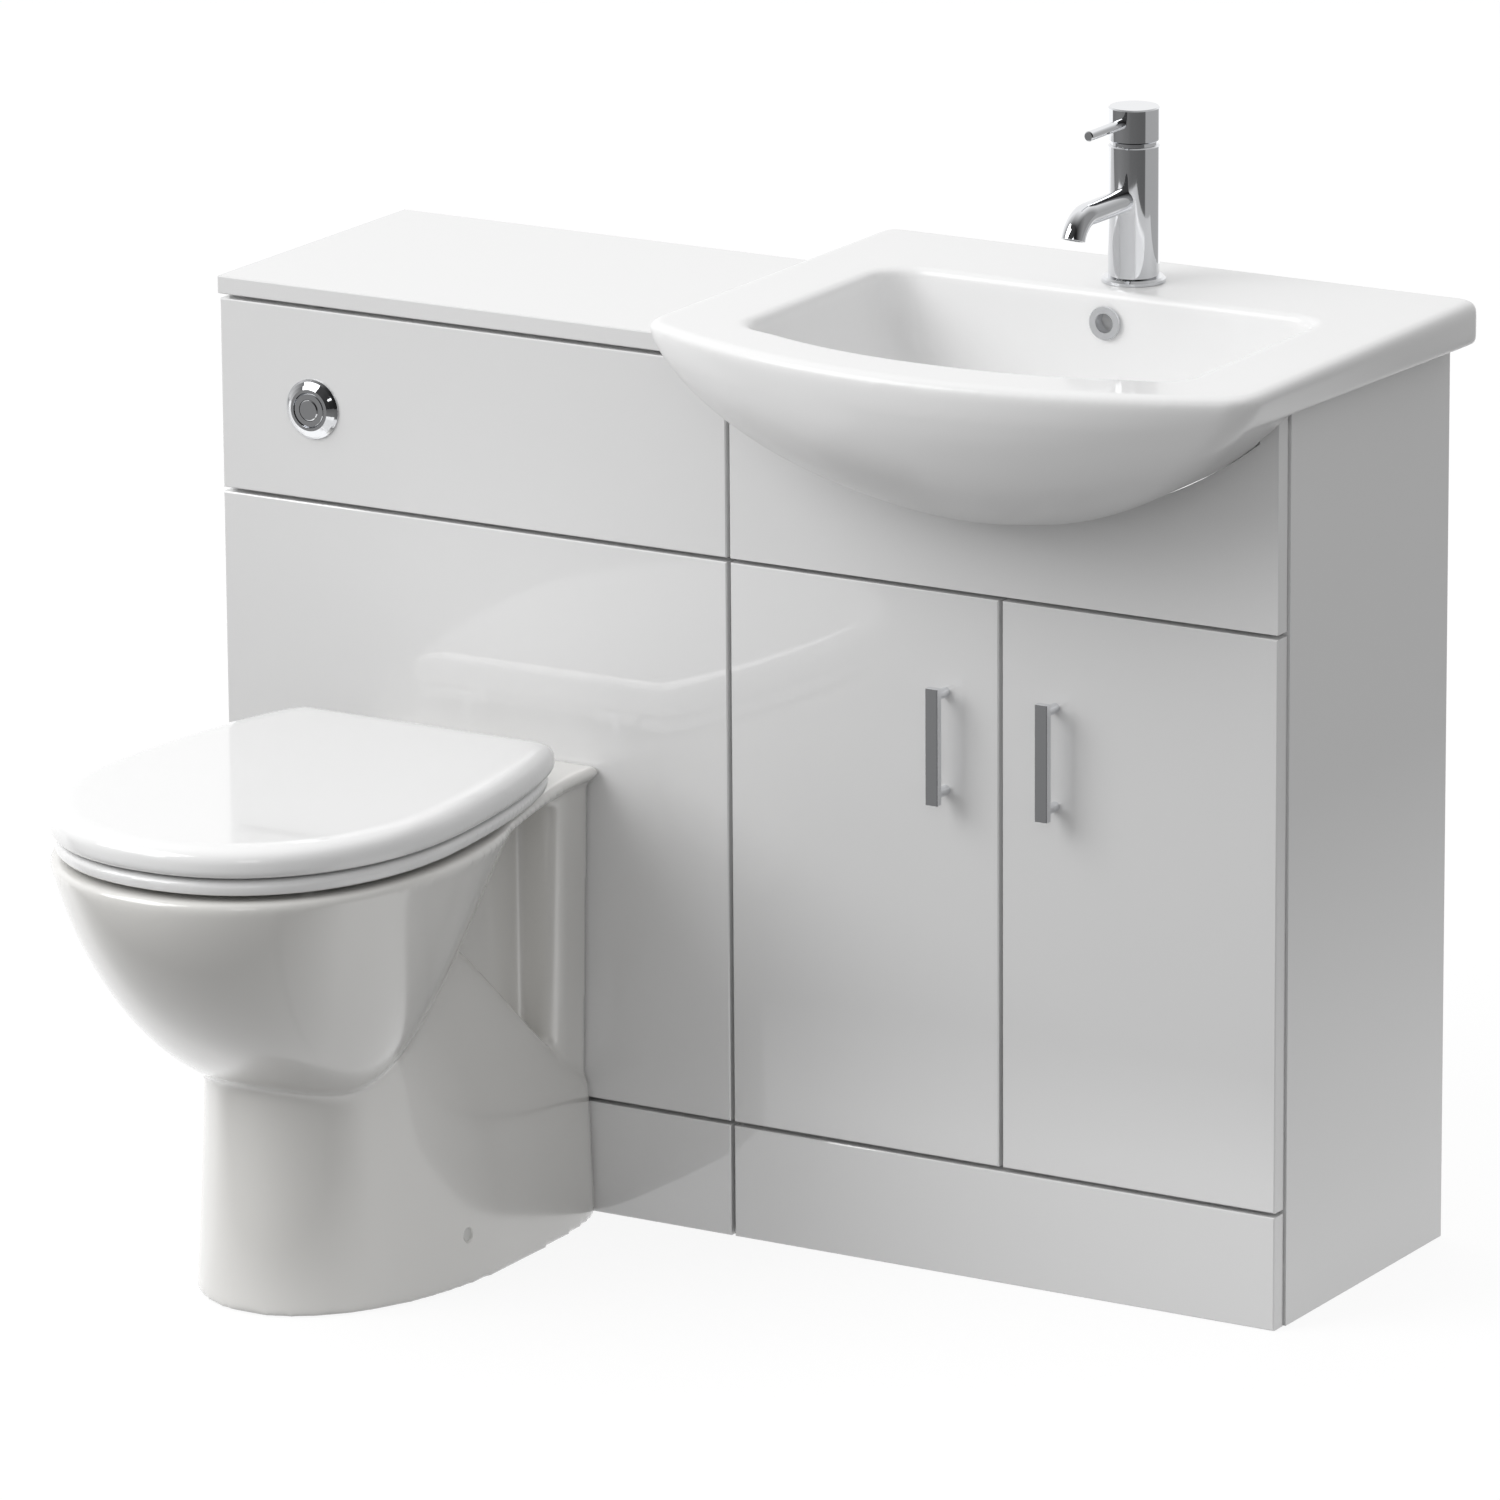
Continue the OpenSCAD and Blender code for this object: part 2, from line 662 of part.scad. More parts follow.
// Levels of the bottle trap, measured from the lower end of the waste
trap_top = bowl_floor_z - waste_tube_l + 12;
trap_d = 56;
trap_h = 105;
trap_out_z = trap_top - 62;
trap_pipe_d = 32;
pipe_end_d = 31;          // turned-down end of the outlet pipe inside the trap's socket
socket_y = 34;            // distance of the outlet socket's shoulder from the trap's middle
socket_l = 18;
module bottle_trap() {
  color("whitesmoke") translate([basin_cx, bowl_waste_y, 0]) difference() {
    union() {
      translate([0, 0, trap_top - 20]) cylinder(d = 54, h = 20);
      translate([0, 0, trap_top - 40]) cylinder(d = 40, h = 22);
      translate([0, 0, trap_top - 50]) cylinder(d1 = trap_d, d2 = 42, h = 12);
      translate([0, 0, trap_top - trap_h]) cylinder(d = trap_d, h = trap_h - 50);
      translate([0, 0, trap_top - trap_h - 12]) cylinder(d1 = 40, d2 = trap_d, h = 12);
      y_rod(0, 0, socket_y + 10, trap_out_z, 38);
      y_rod(0, socket_y, socket_y + socket_l, trap_out_z, 48);
    }
    translate([0, 0, trap_top - 12]) cylinder(d = waste_tube_d + 0.3, h = 20);
    translate([0, 0, trap_top - 90]) cylinder(d = 32, h = 95);
    y_rod(0, 0, socket_y + 20, trap_out_z, trap_pipe_d - 4);
    y_rod(0, socket_y, socket_y + socket_l + 2, trap_out_z, pipe_end_d + 0.3);
  }
}

module trap_outlet() {
  shoulder_y = bowl_waste_y + socket_y + socket_l + touch;
  color("whitesmoke") difference() {
    union() {
      y_rod(basin_cx, bowl_waste_y + socket_y, shoulder_y + 1, trap_out_z, pipe_end_d);
      y_rod(basin_cx, shoulder_y, 0, trap_out_z, trap_pipe_d);
    }
    y_rod(basin_cx, bowl_waste_y + socket_y - 1, 1, trap_out_z, trap_pipe_d - 4);
  }
}

// ---------- tap ----------

tap_x = basin_cx;
cap_z = rim_top + tap_h - cap_h;
groove_h = 3.5;           // visible groove between the body and the cap
body_top = cap_z - groove_h;
cartridge_d = 34;
cartridge_l = 30;
spout_z = rim_top + spout_h;
stud_d = 10;
cap_tilt = 18;            // how far the cap can tilt with the lever
base_d = 55;
base_t = 4.5;

// Round bar from p to q
module rod(p, q, d) {
  v = q - p;
  l = norm(v);
  translate(p) rotate([0, acos(v[2] / l), atan2(v[1], v[0])]) cylinder(d = d, h = l);
}

spout_bend_r = 27;
mouth_turn = 70;          // how far the spout bends down
spout_straight = spout_reach - spout_bend_r * sin(mouth_turn);

// Frame with +X along the spout, from the tap's axis
module at_spout() {
  translate([0, 0, spout_z]) rotate([0, 0, -90]) children();
}

// Frame at the spout's mouth, with +Z into the spout
module at_mouth() {
  at_spout() translate([spout_reach, 0, -spout_bend_r * (1 - cos(mouth_turn))])
    rotate([0, mouth_turn - 90, 0]) children();
}

module tap_body() {
  color("silver") translate([tap_x, -tap_y, 0]) difference() {
    union() {
      translate([0, 0, rim_top + touch]) rotate_extrude() polygon([[0, 0], [base_d / 2, 0],
        [base_d / 2, base_t - 2], [base_d / 2 - 2, base_t], [tap_d / 2, base_t],
        [tap_d / 2, body_top - rim_top - touch - 1],
        [tap_d / 2 - 1, body_top - rim_top - touch], [0, body_top - rim_top - touch]]);
      translate([0, 0, body_top - 1]) cylinder(d = tap_d - 4, h = groove_h + 1 - touch);
      at_spout() rotate([0, 90, 0]) cylinder(d = spout_d, h = spout_straight);
      at_spout() translate([spout_straight, 0, -spout_bend_r]) rotate([-90, 0, 0])
        rotate([0, 0, -90]) rotate_extrude(angle = mouth_turn)
          translate([spout_bend_r, 0]) circle(d = spout_d);
      translate([0, 0, basin_z - 42]) cylinder(d = stud_d, h = 60 + rim_h);
    }
    translate([0, 0, body_top - cartridge_l]) cylinder(d = cartridge_d, h = cartridge_l + 10);
    at_mouth() translate([0, 0, -2]) cylinder(d = spout_d - 4, h = 12);
  }
}

module tap_aerator() {
  color("dimgray") translate([tap_x, -tap_y, 0]) at_mouth() difference() {
    cylinder(d = spout_d - 4 - 2 * run_fit, h = 9);
    for (a = [0:60:300]) rotate(a) translate([4.5, 0, -1]) cylinder(d = 2.4, h = 12);
    translate([0, 0, -1]) cylinder(d = 2.4, h = 12);
  }
}

spindle_d = 14;
spindle_in = 14;          // length of the spindle inside the cartridge
module tap_cartridge() {
  color("whitesmoke") translate([tap_x, -tap_y, body_top]) difference() {
    union() {
      translate([0, 0, -cartridge_l]) cylinder(d = cartridge_d - 2 * run_fit, h = cartridge_l - 1);
      translate([0, 0, -2]) cylinder(d = 26, h = 2 + groove_h - touch);
    }
    translate([0, 0, -spindle_in]) cylinder(d = spindle_d, h = 30);
  }
}

// Turning stem of the cartridge, which carries the cap on a cross pin
cap_pin_h = 13;
cap_pin_z = cap_z + cap_pin_h;
cap_pin_d = 4;
cap_pin_l = 18;
stem_square = 9.6;        // its corners stay inside the cartridge's bore
module tap_spindle() {
  color("silver") translate([tap_x, -tap_y, 0]) {
    translate([0, 0, body_top - spindle_in])
      cylinder(d = spindle_d - 2 * run_fit, h = spindle_in + groove_h);
    translate([-stem_square / 2, -stem_square / 2, cap_z - 1])
      cube([stem_square, stem_square, cap_pin_h + 5]);
    x_rod(-cap_pin_l / 2, cap_pin_l / 2, 0, cap_pin_z, cap_pin_d);
  }
}

lever_tail_d = lever_d - 3;
lever_tail_l = 5;
lever_z = cap_z + cap_h * 0.6;
module tap_cap() {
  color("silver") translate([tap_x, -tap_y, 0]) difference() {
    translate([0, 0, cap_z]) rotate_extrude() polygon([[0, 0], [tap_d / 2 - 1, 0], [tap_d / 2, 1],
      [tap_d / 2, cap_h - 1.2], [tap_d / 2 - 1.2, cap_h], [0, cap_h]]);
    // hollow over the stem
    translate([-7, -14, cap_z - 1]) cube([14, 28, cap_pin_h + 8]);
    // bore of the cross pin
    x_rod(-cap_pin_l / 2 - 1, cap_pin_l / 2 + 1, 0, cap_pin_z, cap_pin_d + 2 * run_fit);
    // relief under the rear half, so that the cap can tilt
    translate([-tap_d, 0, cap_z]) rotate([cap_tilt + 2, 0, 0]) translate([0, 0, -20])
      cube([2 * tap_d, tap_d, 20]);
    // seat of the lever's tail
    y_rod(0, -tap_d, lever_tail_l - tap_d / 2, lever_z, lever_tail_d);
  }
}

module tap_lever() {
  color("silver") translate([tap_x, -tap_y, lever_z]) rotate([90, 0, 0]) {
    translate([0, 0, tap_d / 2 - lever_tail_l]) cylinder(d = lever_tail_d, h = lever_tail_l + 1);
    translate([0, 0, tap_d / 2]) rotate_extrude() polygon([[0, 0], [lever_d / 2, 0],
      [lever_d / 2, lever_l - 0.8], [lever_d / 2 - 0.8, lever_l], [0, lever_l]]);
  }
}

washer_t = 3;
module tap_back_nut() {
  color("goldenrod") translate([tap_x, -tap_y, rim_top - deck_t]) difference() {
    union() {
      translate([0, 0, -washer_t]) cylinder(d = 52, h = washer_t);
      translate([0, 0, -washer_t - 9]) cylinder(d = 19, h = 9, $fn = 6);
    }
    translate([0, 0, -washer_t - 10]) cylinder(d = stud_d + 0.2, h = 20);
  }
}

// ---------- pan ----------

pan_wide_y = face_y - 327;                 // the pan's widest line
pan_nose_y = face_y - pan_l;
rim_b = pan_wide_y - pan_nose_y;
rim_c = 199;                               // length of the bowl behind its widest line
pan_round = 6;
bowl_top = pan_h - pan_round;
bowl_low = 180;                            // level of the bowl's lowest point outside
bowl_back_half = 0.44 * pan_w / 2;         // half width of the flat behind the bowl

// Section of the bowl's outside: the sides draw in early and the nose draws in late
function pan_ring(u) =
  let (side = bowl_factor(u, 0.85, 3.63), nose = bowl_factor(u, 1.53, 1.45))
  lift(egg(pan_w / 2 * side, bowl_back_half * side * (1 - u), rim_c * pow(side, 1.41),
    rim_b * nose, 2, 2.1), pan_cx, pan_wide_y, bowl_top - u * (bowl_top - bowl_low));

bowl_steps = 15;
module pan_bowl_outside() {
  top = [for (i = [1:3]) let (t = 30 * i, g = pan_round * (1 - cos(t)))
    lift(egg(pan_w / 2 - g, bowl_back_half, rim_c - g, rim_b - g, 2, 2.1),
      pan_cx, pan_wide_y, pan_h - pan_round * (1 - sin(t)))];
  body = [for (i = [0:bowl_steps]) pan_ring(0.995 * cos(90 * i / bowl_steps))];
  skin(concat(body, top));
}

foot_back_y = face_y - touch;
foot_cut_z = 130;         // sections below this level also shape the hollow of the foot
// Height, widest line, narrowing, nose, back and narrowing of the back of each foot section,
// measured from the cabinet's front and against the foot's half width
foot_rows = [
  [0, 173, 0, 389, 0, 24],
  [60, 178, 5, 385.5, 0, 25],
  [120, 190, 11, 382, 0, 26],
  [150, 200, 15, 380.5, 40, 30],
  [185, 215, 20, 379, 78, 34],
  [225, 240, 26, 377, 117, 40],
  [270, 262, 34, 372, 160, 50],
  [300, 280, 46, 360, 190, 66]];

module pan_foot(inset = 0) {
  rows = inset > 0 ? [for (r = foot_rows) if (r[0] < foot_cut_z) r] : foot_rows;
  skin([for (r = rows)
    lift(egg(foot_w / 2 - r[2] - inset, foot_w / 2 - r[5] - inset, r[1] - r[4] - inset,
      r[3] - r[1] - inset, 2.4, 2.05), pan_cx, foot_back_y - r[1],
      r[0] - (inset > 0 && r[0] == 0 ? 1 : 0))]);
}

// Half width of the foot at a place in front of its widest line, at the floor
function foot_reach(dy) = foot_w / 2 * pow(1 - pow(dy / (389 - 173), 2.05), 1 / 2.05);

// Upright column against the cabinet, wider at the deck that covers it
column_d = 54;
column_foot = 20;         // narrowing of the column towards the floor
column_head = 11;         // narrowing of the column where the deck covers it
function column_ring(z, w, d) = let (r = 12)
  lift([[w, -d + r], [w, -4], [w - 4, 0], [-w + 4, 0], [-w, -4], [-w, -d + r],
    [-w + r * 0.3, -d + r * 0.3], [-w + r, -d], [w - r, -d], [w - r * 0.3, -d + r * 0.3]],
    pan_cx, foot_back_y, z);

module pan_column() {
  w = deck_w / 2;
  skin([column_ring(0, w - column_foot, column_d),
    column_ring(pan_h - 14, w - column_head, column_d)]);
}

// Deck between the column and the rim, a hair below the rim and swept out to it at the sides
deck_front_half = 150;    // half width of the deck where it meets the rim
deck_l = 190;
deck_straight = 40;       // length of the deck's straight sides beside the column
deck_low = 0.3;
deck_sweep = 1.3;         // higher values sweep the sides out later
deck_steps = 7;
function deck_side(w, w2) = [for (i = [0:deck_steps]) let (s = i / deck_steps)
  [w + (w2 - w) * pow(s, deck_sweep), -deck_straight - (deck_l - deck_straight) * s]];

module pan_deck() {
  function ring(z, g, w2) = let (w = deck_w / 2, side = deck_side(w - g, w2 - g))
    lift(concat([[w - g, 0], [-w + g, 0]], [for (p = side) [-p[0], p[1]]],
      [for (i = [deck_steps:-1:0]) side[i]]), pan_cx, foot_back_y, z);
  skin([ring(pan_h - 38, 78, deck_front_half - 14), ring(pan_h - 20, 16, deck_front_half - 6),
    ring(pan_h - 8, 0, deck_front_half), ring(pan_h - 2, 1.5, deck_front_half - 1),
    ring(pan_h - deck_low, 5, deck_front_half - 4)]);
}

// Web behind the bowl that holds the trapway
web_half = 68;
module pan_web() {
  translate([pan_cx - web_half, foot_back_y - 220, 60]) cube([2 * web_half, 200, pan_h - 90]);
}

bowl_floor = 195;         // level of the bowl's floor inside
rim_in = 42;              // width of the rim seen from above
pan_wall = 13;            // level distance of the inside from the outside of the bowl

// One level of the bowl's inside, held in by the outside where that draws in sooner
function pan_inside_ring(u) =
  let (s = 0.3 + 0.7 * bowl_factor(1 - u, 2.2, 2.0), back = 50 * (1 - u) - 6,
    z = bowl_floor + (pan_h - 44 - bowl_floor) * u,
    v = (bowl_top - z) / (bowl_top - bowl_low), f = bowl_factor(v, 0.85, 3.63),
    side = min((pan_w / 2 - rim_in + 8) * s, 0.93 * f * pan_w / 2 - pan_wall),
    rear = min(165 * s, rim_c * pow(f, 1.41) - back - pan_wall),
    nose = min((rim_b - rim_in + 8) * s, rim_b * bowl_factor(v, 1.53, 1.45) + back - pan_wall))
  lift(egg(side, 20 * s, rear, nose, 2, 2.1), pan_cx, pan_wide_y + back, z);

module pan_inside() {
  levels = [for (i = [0:9]) pan_inside_ring(i / 9)];
  mouth = [for (z = [pan_h - 30, pan_h - 6, pan_h + 1])
    lift(egg(pan_w / 2 - rim_in - 6, 20, 150, rim_b - rim_in - 6, 2, 2.1), pan_cx,
      pan_wide_y - 6, z)];
  skin(concat(levels, mouth));
}

trap_bore = 56;
outlet_in = 60;           // where the trapway meets the outlet, from the pan's back
spigot_l = 62;            // length of the outlet behind the pan
inlet_l = 22;             // length of the flush inlet's collar
inlet_bore = 45;
weir = [pan_cx, foot_back_y - 118, 262];
module pan() {
  color("ghostwhite") difference() {
    union() {
      pan_bowl_outside();
      pan_foot();
      pan_column();
      pan_deck();
      pan_web();
      y_rod(pan_cx, foot_back_y - 10, foot_back_y + spigot_l, outlet_z, outlet_d);
      y_rod(pan_cx, foot_back_y - 10, foot_back_y + inlet_l, inlet_z, inlet_bore + 11);
    }
    pan_inside();
    // flush channel from the inlet to the bowl
    y_rod(pan_cx, pan_wide_y + 130, foot_back_y + inlet_l + 1, inlet_z, inlet_bore);
    // trapway
    rod([pan_cx, pan_wide_y + 60, bowl_floor + 20], weir, trap_bore);
    translate(weir) sphere(d = trap_bore + 2);
    rod(weir, [pan_cx, foot_back_y - outlet_in, outlet_z], trap_bore);
    translate([pan_cx, foot_back_y - outlet_in, outlet_z]) sphere(d = trap_bore + 2);
    y_rod(pan_cx, foot_back_y - outlet_in, foot_back_y + spigot_l + 1, outlet_z, outlet_d - 18);
    // hollow foot
    pan_foot(foot_wall);
    // stepped holes of the side screws
    for (d = [-1, 1]) at_screw(d) {
      x_rod(-20, 30, 0, 0, pan_screw_d + 1.5);
      x_rod(-screw_in, 30, 0, 0, pan_screw_hole_d);
    }
    // bores of the hinge studs
    for (dx = [-1, 1]) translate([pan_cx + dx * hinge_x, hinge_y, pan_h - hinge_stud_l - 4])
      cylinder(d = hinge_stud_d + 4, h = hinge_stud_l + 10);
  }
}

foot_wall = 11;
pan_screw_y = face_y - 226;
pan_screw_z = 44;
pan_screw_hole_d = 12;
pan_screw_d = 6;
screw_in = 5;             // depth of the screw head's seat below the foot's outside
head_t = 3;
cap_t = 1.4;
bracket_t = 4;
bracket_w = 40;
bracket_l = 33;           // length of the bracket's foot towards the pan's wall
bracket_hole_in = 26;     // distance of the floor screw from the bracket's upright
bracket_boss = 16;        // length of the bracket's boss round the screw
bracket_in = 34;          // distance of the boss's end inside the foot's outside
screw_wall = foot_reach(foot_back_y - 173 - pan_screw_y) - 5 * pan_screw_z / 60;

// Frame on the foot's outside at a side screw, +X outwards
module at_screw(d) {
  translate([pan_cx, pan_screw_y, pan_screw_z]) scale([d, 1, 1])
    translate([screw_wall, 0, 0]) children();
}

module pan_screws() {
  color("silver") for (d = [-1, 1]) at_screw(d) difference() {
    union() {
      x_rod(-bracket_in - bracket_boss - 2, -screw_in + 1, 0, 0, pan_screw_d);
      x_rod(-screw_in, head_t - screw_in, 0, 0, pan_screw_hole_d - 1);
    }
    x_rod(head_t - screw_in - 2, 10, 0, 0, 4);
  }
}

module pan_screw_caps() {
  color("white") for (d = [-1, 1]) at_screw(d)
    x_rod(head_t - screw_in, head_t - screw_in + cap_t, 0, 0, pan_screw_hole_d - 0.2);
}

module floor_brackets() {
  boss_x = -bracket_in - bracket_boss;
  color("gainsboro") for (d = [-1, 1]) at_screw(d) difference() {
    union() {
      translate([boss_x, -bracket_w / 2, -pan_screw_z]) cube([bracket_l, bracket_w, bracket_t]);
      translate([boss_x, -bracket_w / 2, -pan_screw_z])
        cube([bracket_t, bracket_w, pan_screw_z + 14]);
      x_rod(boss_x, boss_x + bracket_boss, 0, 0, 14);
    }
    x_rod(boss_x - 1, boss_x + bracket_boss + 1, 0, 0, pan_screw_d + 0.1);
    translate([boss_x + bracket_hole_in, 0, -pan_screw_z - 1]) cylinder(d = 7, h = bracket_t + 2);
  }
}

connector_in = 40;        // length of the spigot inside the connector
module pan_connector() {
  end_y = foot_back_y + spigot_l;
  color("dimgray") difference() {
    union() {
      y_rod(pan_cx, end_y - connector_in, -90, outlet_z, connector_d);
      y_rod(pan_cx, -92, 0, outlet_z, outlet_d + 8);
    }
    y_rod(pan_cx, end_y - connector_in - 1, end_y, outlet_z, outlet_d + 0.4);
    y_rod(pan_cx, end_y - 1, 1, outlet_z, outlet_d - 2);
  }
}

// ---------- seat ----------

ring_gap = 5;             // height of the ring's buffers
lid_gap = 2.5;            // gap between the ring and the lid
ring_z = pan_h + ring_gap;
lid_z = ring_z + ring_t + lid_gap;
lid_top = lid_z + lid_t;
lid_y = face_y - lid_back;                 // back edge of the lid
lid_rear = lid_y - pan_wide_y;
lid_front = rim_b - 4;
lid_back_half = 127;
lid_plate = 5;            // thickness of the lid's top
hinge_x = 77;
hinge_y = lid_y - 8;
hinge_z = ring_z + 9;
hinge_pin_d = 6;
hinge_stud_d = 8;
hinge_stud_l = 14;        // length of the studs inside the pan's deck
knuckle_d = 13;
post_d = 11;              // the lid's back edge swings close past the posts
post_half = 6.5;          // half length of the hinge's cross barrel
knuckle_l = 14;

function seat_outline(inset) =
  egg(lid_w / 2 - inset, lid_back_half - inset, lid_rear - inset, lid_front - inset, 1.55, 2.18);

// Place of one knuckle beside a hinge post, on the outside (side = 1) or inside (side = -1)
module knuckle(side) {
  x0 = hinge_x + side * (post_half + 1);
  x_rod(pan_cx + min(x0, x0 + side * knuckle_l), pan_cx + max(x0, x0 + side * knuckle_l),
    hinge_y, hinge_z, knuckle_d);
}

module knuckle_bore(side) {
  x0 = hinge_x + side * post_half;
  x_rod(pan_cx + min(x0, x0 + side * (knuckle_l + 2)), pan_cx + max(x0, x0 + side * (knuckle_l + 2)),
    hinge_y, hinge_z, hinge_pin_d + 2 * run_fit);
}

ring_hole_in = 66;        // width of the seat ring at the sides
module seat_ring() {
  color("white") difference() {
    union() {
      difference() {
        skin([for (r = [[0, 7], [2, 5], [ring_t - 5, 4], [ring_t - 1.5, 7], [ring_t, 12]])
          lift(seat_outline(r[1]), pan_cx, pan_wide_y, ring_z + r[0])]);
        skin([for (r = [[-1, 2], [3, -2], [ring_t - 4, -3], [ring_t + 1, 4]])
          lift(egg(lid_w / 2 - ring_hole_in - r[1], 30, 115 - r[1],
            lid_front - ring_hole_in - r[1], 2, 2.1), pan_cx, pan_wide_y, ring_z + r[0])]);
        // clearance for the hinges
        translate([pan_cx - hinge_x - 25, hinge_y - 14, ring_z - 1])
          cube([2 * hinge_x + 50, 40, ring_t + 2]);
      }
      for (d = [-1, 1]) scale_x(pan_cx, d) {
        knuckle(1);
        translate([pan_cx + hinge_x + post_half + 1, hinge_y - 18, hinge_z - 6])
          cube([knuckle_l, 18, 8]);
      }
    }
    for (d = [-1, 1]) scale_x(pan_cx, d) knuckle_bore(1);
  }
}

// Mirrors about the plane x = x0 when d = -1
module scale_x(x0, d) {
  translate([x0, 0, 0]) scale([d, 1, 1]) translate([-x0, 0, 0]) children();
}

module seat_lid() {
  color("white") difference() {
    union() {
      difference() {
        skin([for (r = [[0, 3], [2, 1], [5, 0], [lid_t - 13, 0], [lid_t - 7, 2], [lid_t - 3, 6.5],
            [lid_t - 0.8, 13], [lid_t, 22]])
          lift(seat_outline(r[1]), pan_cx, pan_wide_y, lid_z + r[0])]);
        skin([for (r = [[-1, 10], [lid_t - lid_plate - 7, 10], [lid_t - lid_plate - 1, 16],
            [lid_t - lid_plate, 26]])
          lift(seat_outline(r[1]), pan_cx, pan_wide_y, lid_z + r[0])]);
      }
      for (d = [-1, 1]) scale_x(pan_cx, d) {
        knuckle(-1);
        translate([pan_cx + hinge_x - post_half - 1 - knuckle_l, hinge_y - 5, hinge_z])
          cube([knuckle_l, 10, lid_top - lid_plate + 1 - hinge_z]);
      }
    }
    for (d = [-1, 1]) scale_x(pan_cx, d) knuckle_bore(-1);
  }
}

// Hinge posts on the deck, each with its cross pin and fixing stud
module seat_hinges() {
  pin_l = post_half + 1 + knuckle_l;
  color("silver") for (d = [-1, 1]) scale_x(pan_cx, d) {
    translate([pan_cx + hinge_x, hinge_y, pan_h]) cylinder(d = 24, h = 2);
    translate([pan_cx + hinge_x, hinge_y, pan_h]) cylinder(d = post_d, h = hinge_z - pan_h);
    x_rod(pan_cx + hinge_x - post_half, pan_cx + hinge_x + post_half, hinge_y, hinge_z, knuckle_d);
    x_rod(pan_cx + hinge_x - pin_l, pan_cx + hinge_x + pin_l, hinge_y, hinge_z, hinge_pin_d);
    translate([pan_cx + hinge_x, hinge_y, pan_h - hinge_stud_l])
      cylinder(d = hinge_stud_d, h = hinge_stud_l + 1);
  }
}

// Places of the buffers under the ring and the lid, from the pan's middle and widest line
buffer_in = [40, 67];
buffer_y = [70, -120];

module ring_buffers() {
  color("gainsboro") for (d = [-1, 1], i = [0, 1]) scale_x(pan_cx, d)
    translate([pan_cx + lid_w / 2 - buffer_in[i], pan_wide_y + buffer_y[i], pan_h + touch])
      cylinder(d = 12, h = ring_gap - touch);
}

module lid_buffers() {
  color("gainsboro") for (d = [-1, 1], i = [0, 1]) scale_x(pan_cx, d)
    translate([pan_cx + lid_w / 2 - buffer_in[i], pan_wide_y + buffer_y[i],
      ring_z + ring_t + touch])
      cylinder(d = 10, h = lid_top - lid_plate - ring_z - ring_t - touch);
}

// ---------- cistern ----------

tank_room = 22;           // space above the cistern's tank for its lid
tank_cx = pan_cx;
tank_y1 = -board_t;
tank_top = wc_side_h - tank_room;
tank_z0 = tank_top - tank_h;

module tank_shape(inset, z0, h) {
  translate([tank_cx - tank_w / 2 + inset, tank_y1 - tank_d + inset, z0])
    linear_extrude(h) rounded_rect(tank_w - 2 * inset, tank_d - 2 * inset, 20 - inset);
}

// Rectangle with round corners, made of true arcs
module rounded_rect(w, d, r) {
  union() {
    translate([r, 0]) square([w - 2 * r, d]);
    translate([0, r]) square([w, d - 2 * r]);
    for (x = [r, w - r], y = [r, d - r]) translate([x, y]) circle(r = r);
  }
}

flush_x = pan_cx;
flush_y = tank_y1 - 84;
fill_x = tank_cx + tank_w / 2 - 45;
flush_tail_d = 60;
fill_tail_d = 20;
fill_tail_l = 40;         // length of the tail below the tank
fill_end_d = 19;          // the tail's lower end, which takes the supply hose
nut_t = 12;
module cistern_tank() {
  color("whitesmoke") difference() {
    tank_shape(0, tank_z0, tank_h);
    tank_shape(tank_wall, tank_z0 + tank_wall, tank_h);
    translate([flush_x, flush_y, tank_z0 - 1]) cylinder(d = flush_tail_d + 2, h = 20);
    translate([fill_x, flush_y, tank_z0 - 1]) cylinder(d = fill_tail_d + 2, h = 20);
  }
}

module cistern_lid() {
  color("whitesmoke") difference() {
    translate([tank_cx - tank_w / 2 - 3, tank_y1 - tank_d - 3, tank_top])
      linear_extrude(5) rounded_rect(tank_w + 6, tank_d + 3, 20);
    translate([flush_x - 60, flush_y, tank_top - 1]) cylinder(d = 20, h = 10);
  }
}

// Dual-flush valve; heights from the tank's floor
overflow_pipe_x = 34;
overflow_pipe_d = 24;
valve_head_z = tank_h - 120;
valve_head_h = 22;
overflow_pipe_z = tank_h - 72; // level of the overflow pipe's mouth
module flush_valve() {
  color("lightblue") translate([flush_x, flush_y, tank_z0]) difference() {
    union() {
      translate([0, 0, tank_wall]) cylinder(d = flush_tail_d + 14, h = 6);
      translate([0, 0, -34]) cylinder(d = flush_tail_d, h = 40);
      translate([0, 0, 9]) cylinder(d = flush_tail_d - 4, h = valve_head_z);
      translate([0, 0, valve_head_z]) cylinder(d = flush_tail_d + 6, h = valve_head_h);
      translate([overflow_pipe_x, 0, 8]) cylinder(d = overflow_pipe_d, h = overflow_pipe_z - 8);
    }
    translate([0, 0, -35]) cylinder(d = flush_tail_d - 14, h = 60);
    translate([overflow_pipe_x, 0, 20]) cylinder(d = overflow_pipe_d - 6, h = overflow_pipe_z);
    for (a = [0:60:300]) rotate(a + 30) translate([18, -6, 24]) cube([16, 12, 40]);
  }
}

// Nut under the tank round a tail of the given diameter
module tank_nut(tail_d, wrench, h, sides) {
  difference() {
    translate([0, 0, -h]) cylinder(d = wrench, h = h, $fn = sides);
    translate([0, 0, -h - 1]) cylinder(d = tail_d + 0.2, h = h + 2);
  }
}

module flush_nut() {
  color("gainsboro") translate([flush_x, flush_y, tank_z0])
    tank_nut(flush_tail_d, flush_tail_d + 18, nut_t, 8);
}

module fill_nut() {
  color("gainsboro") translate([fill_x, flush_y, tank_z0])
    tank_nut(fill_tail_d, fill_tail_d + 14, nut_t, 6);
}

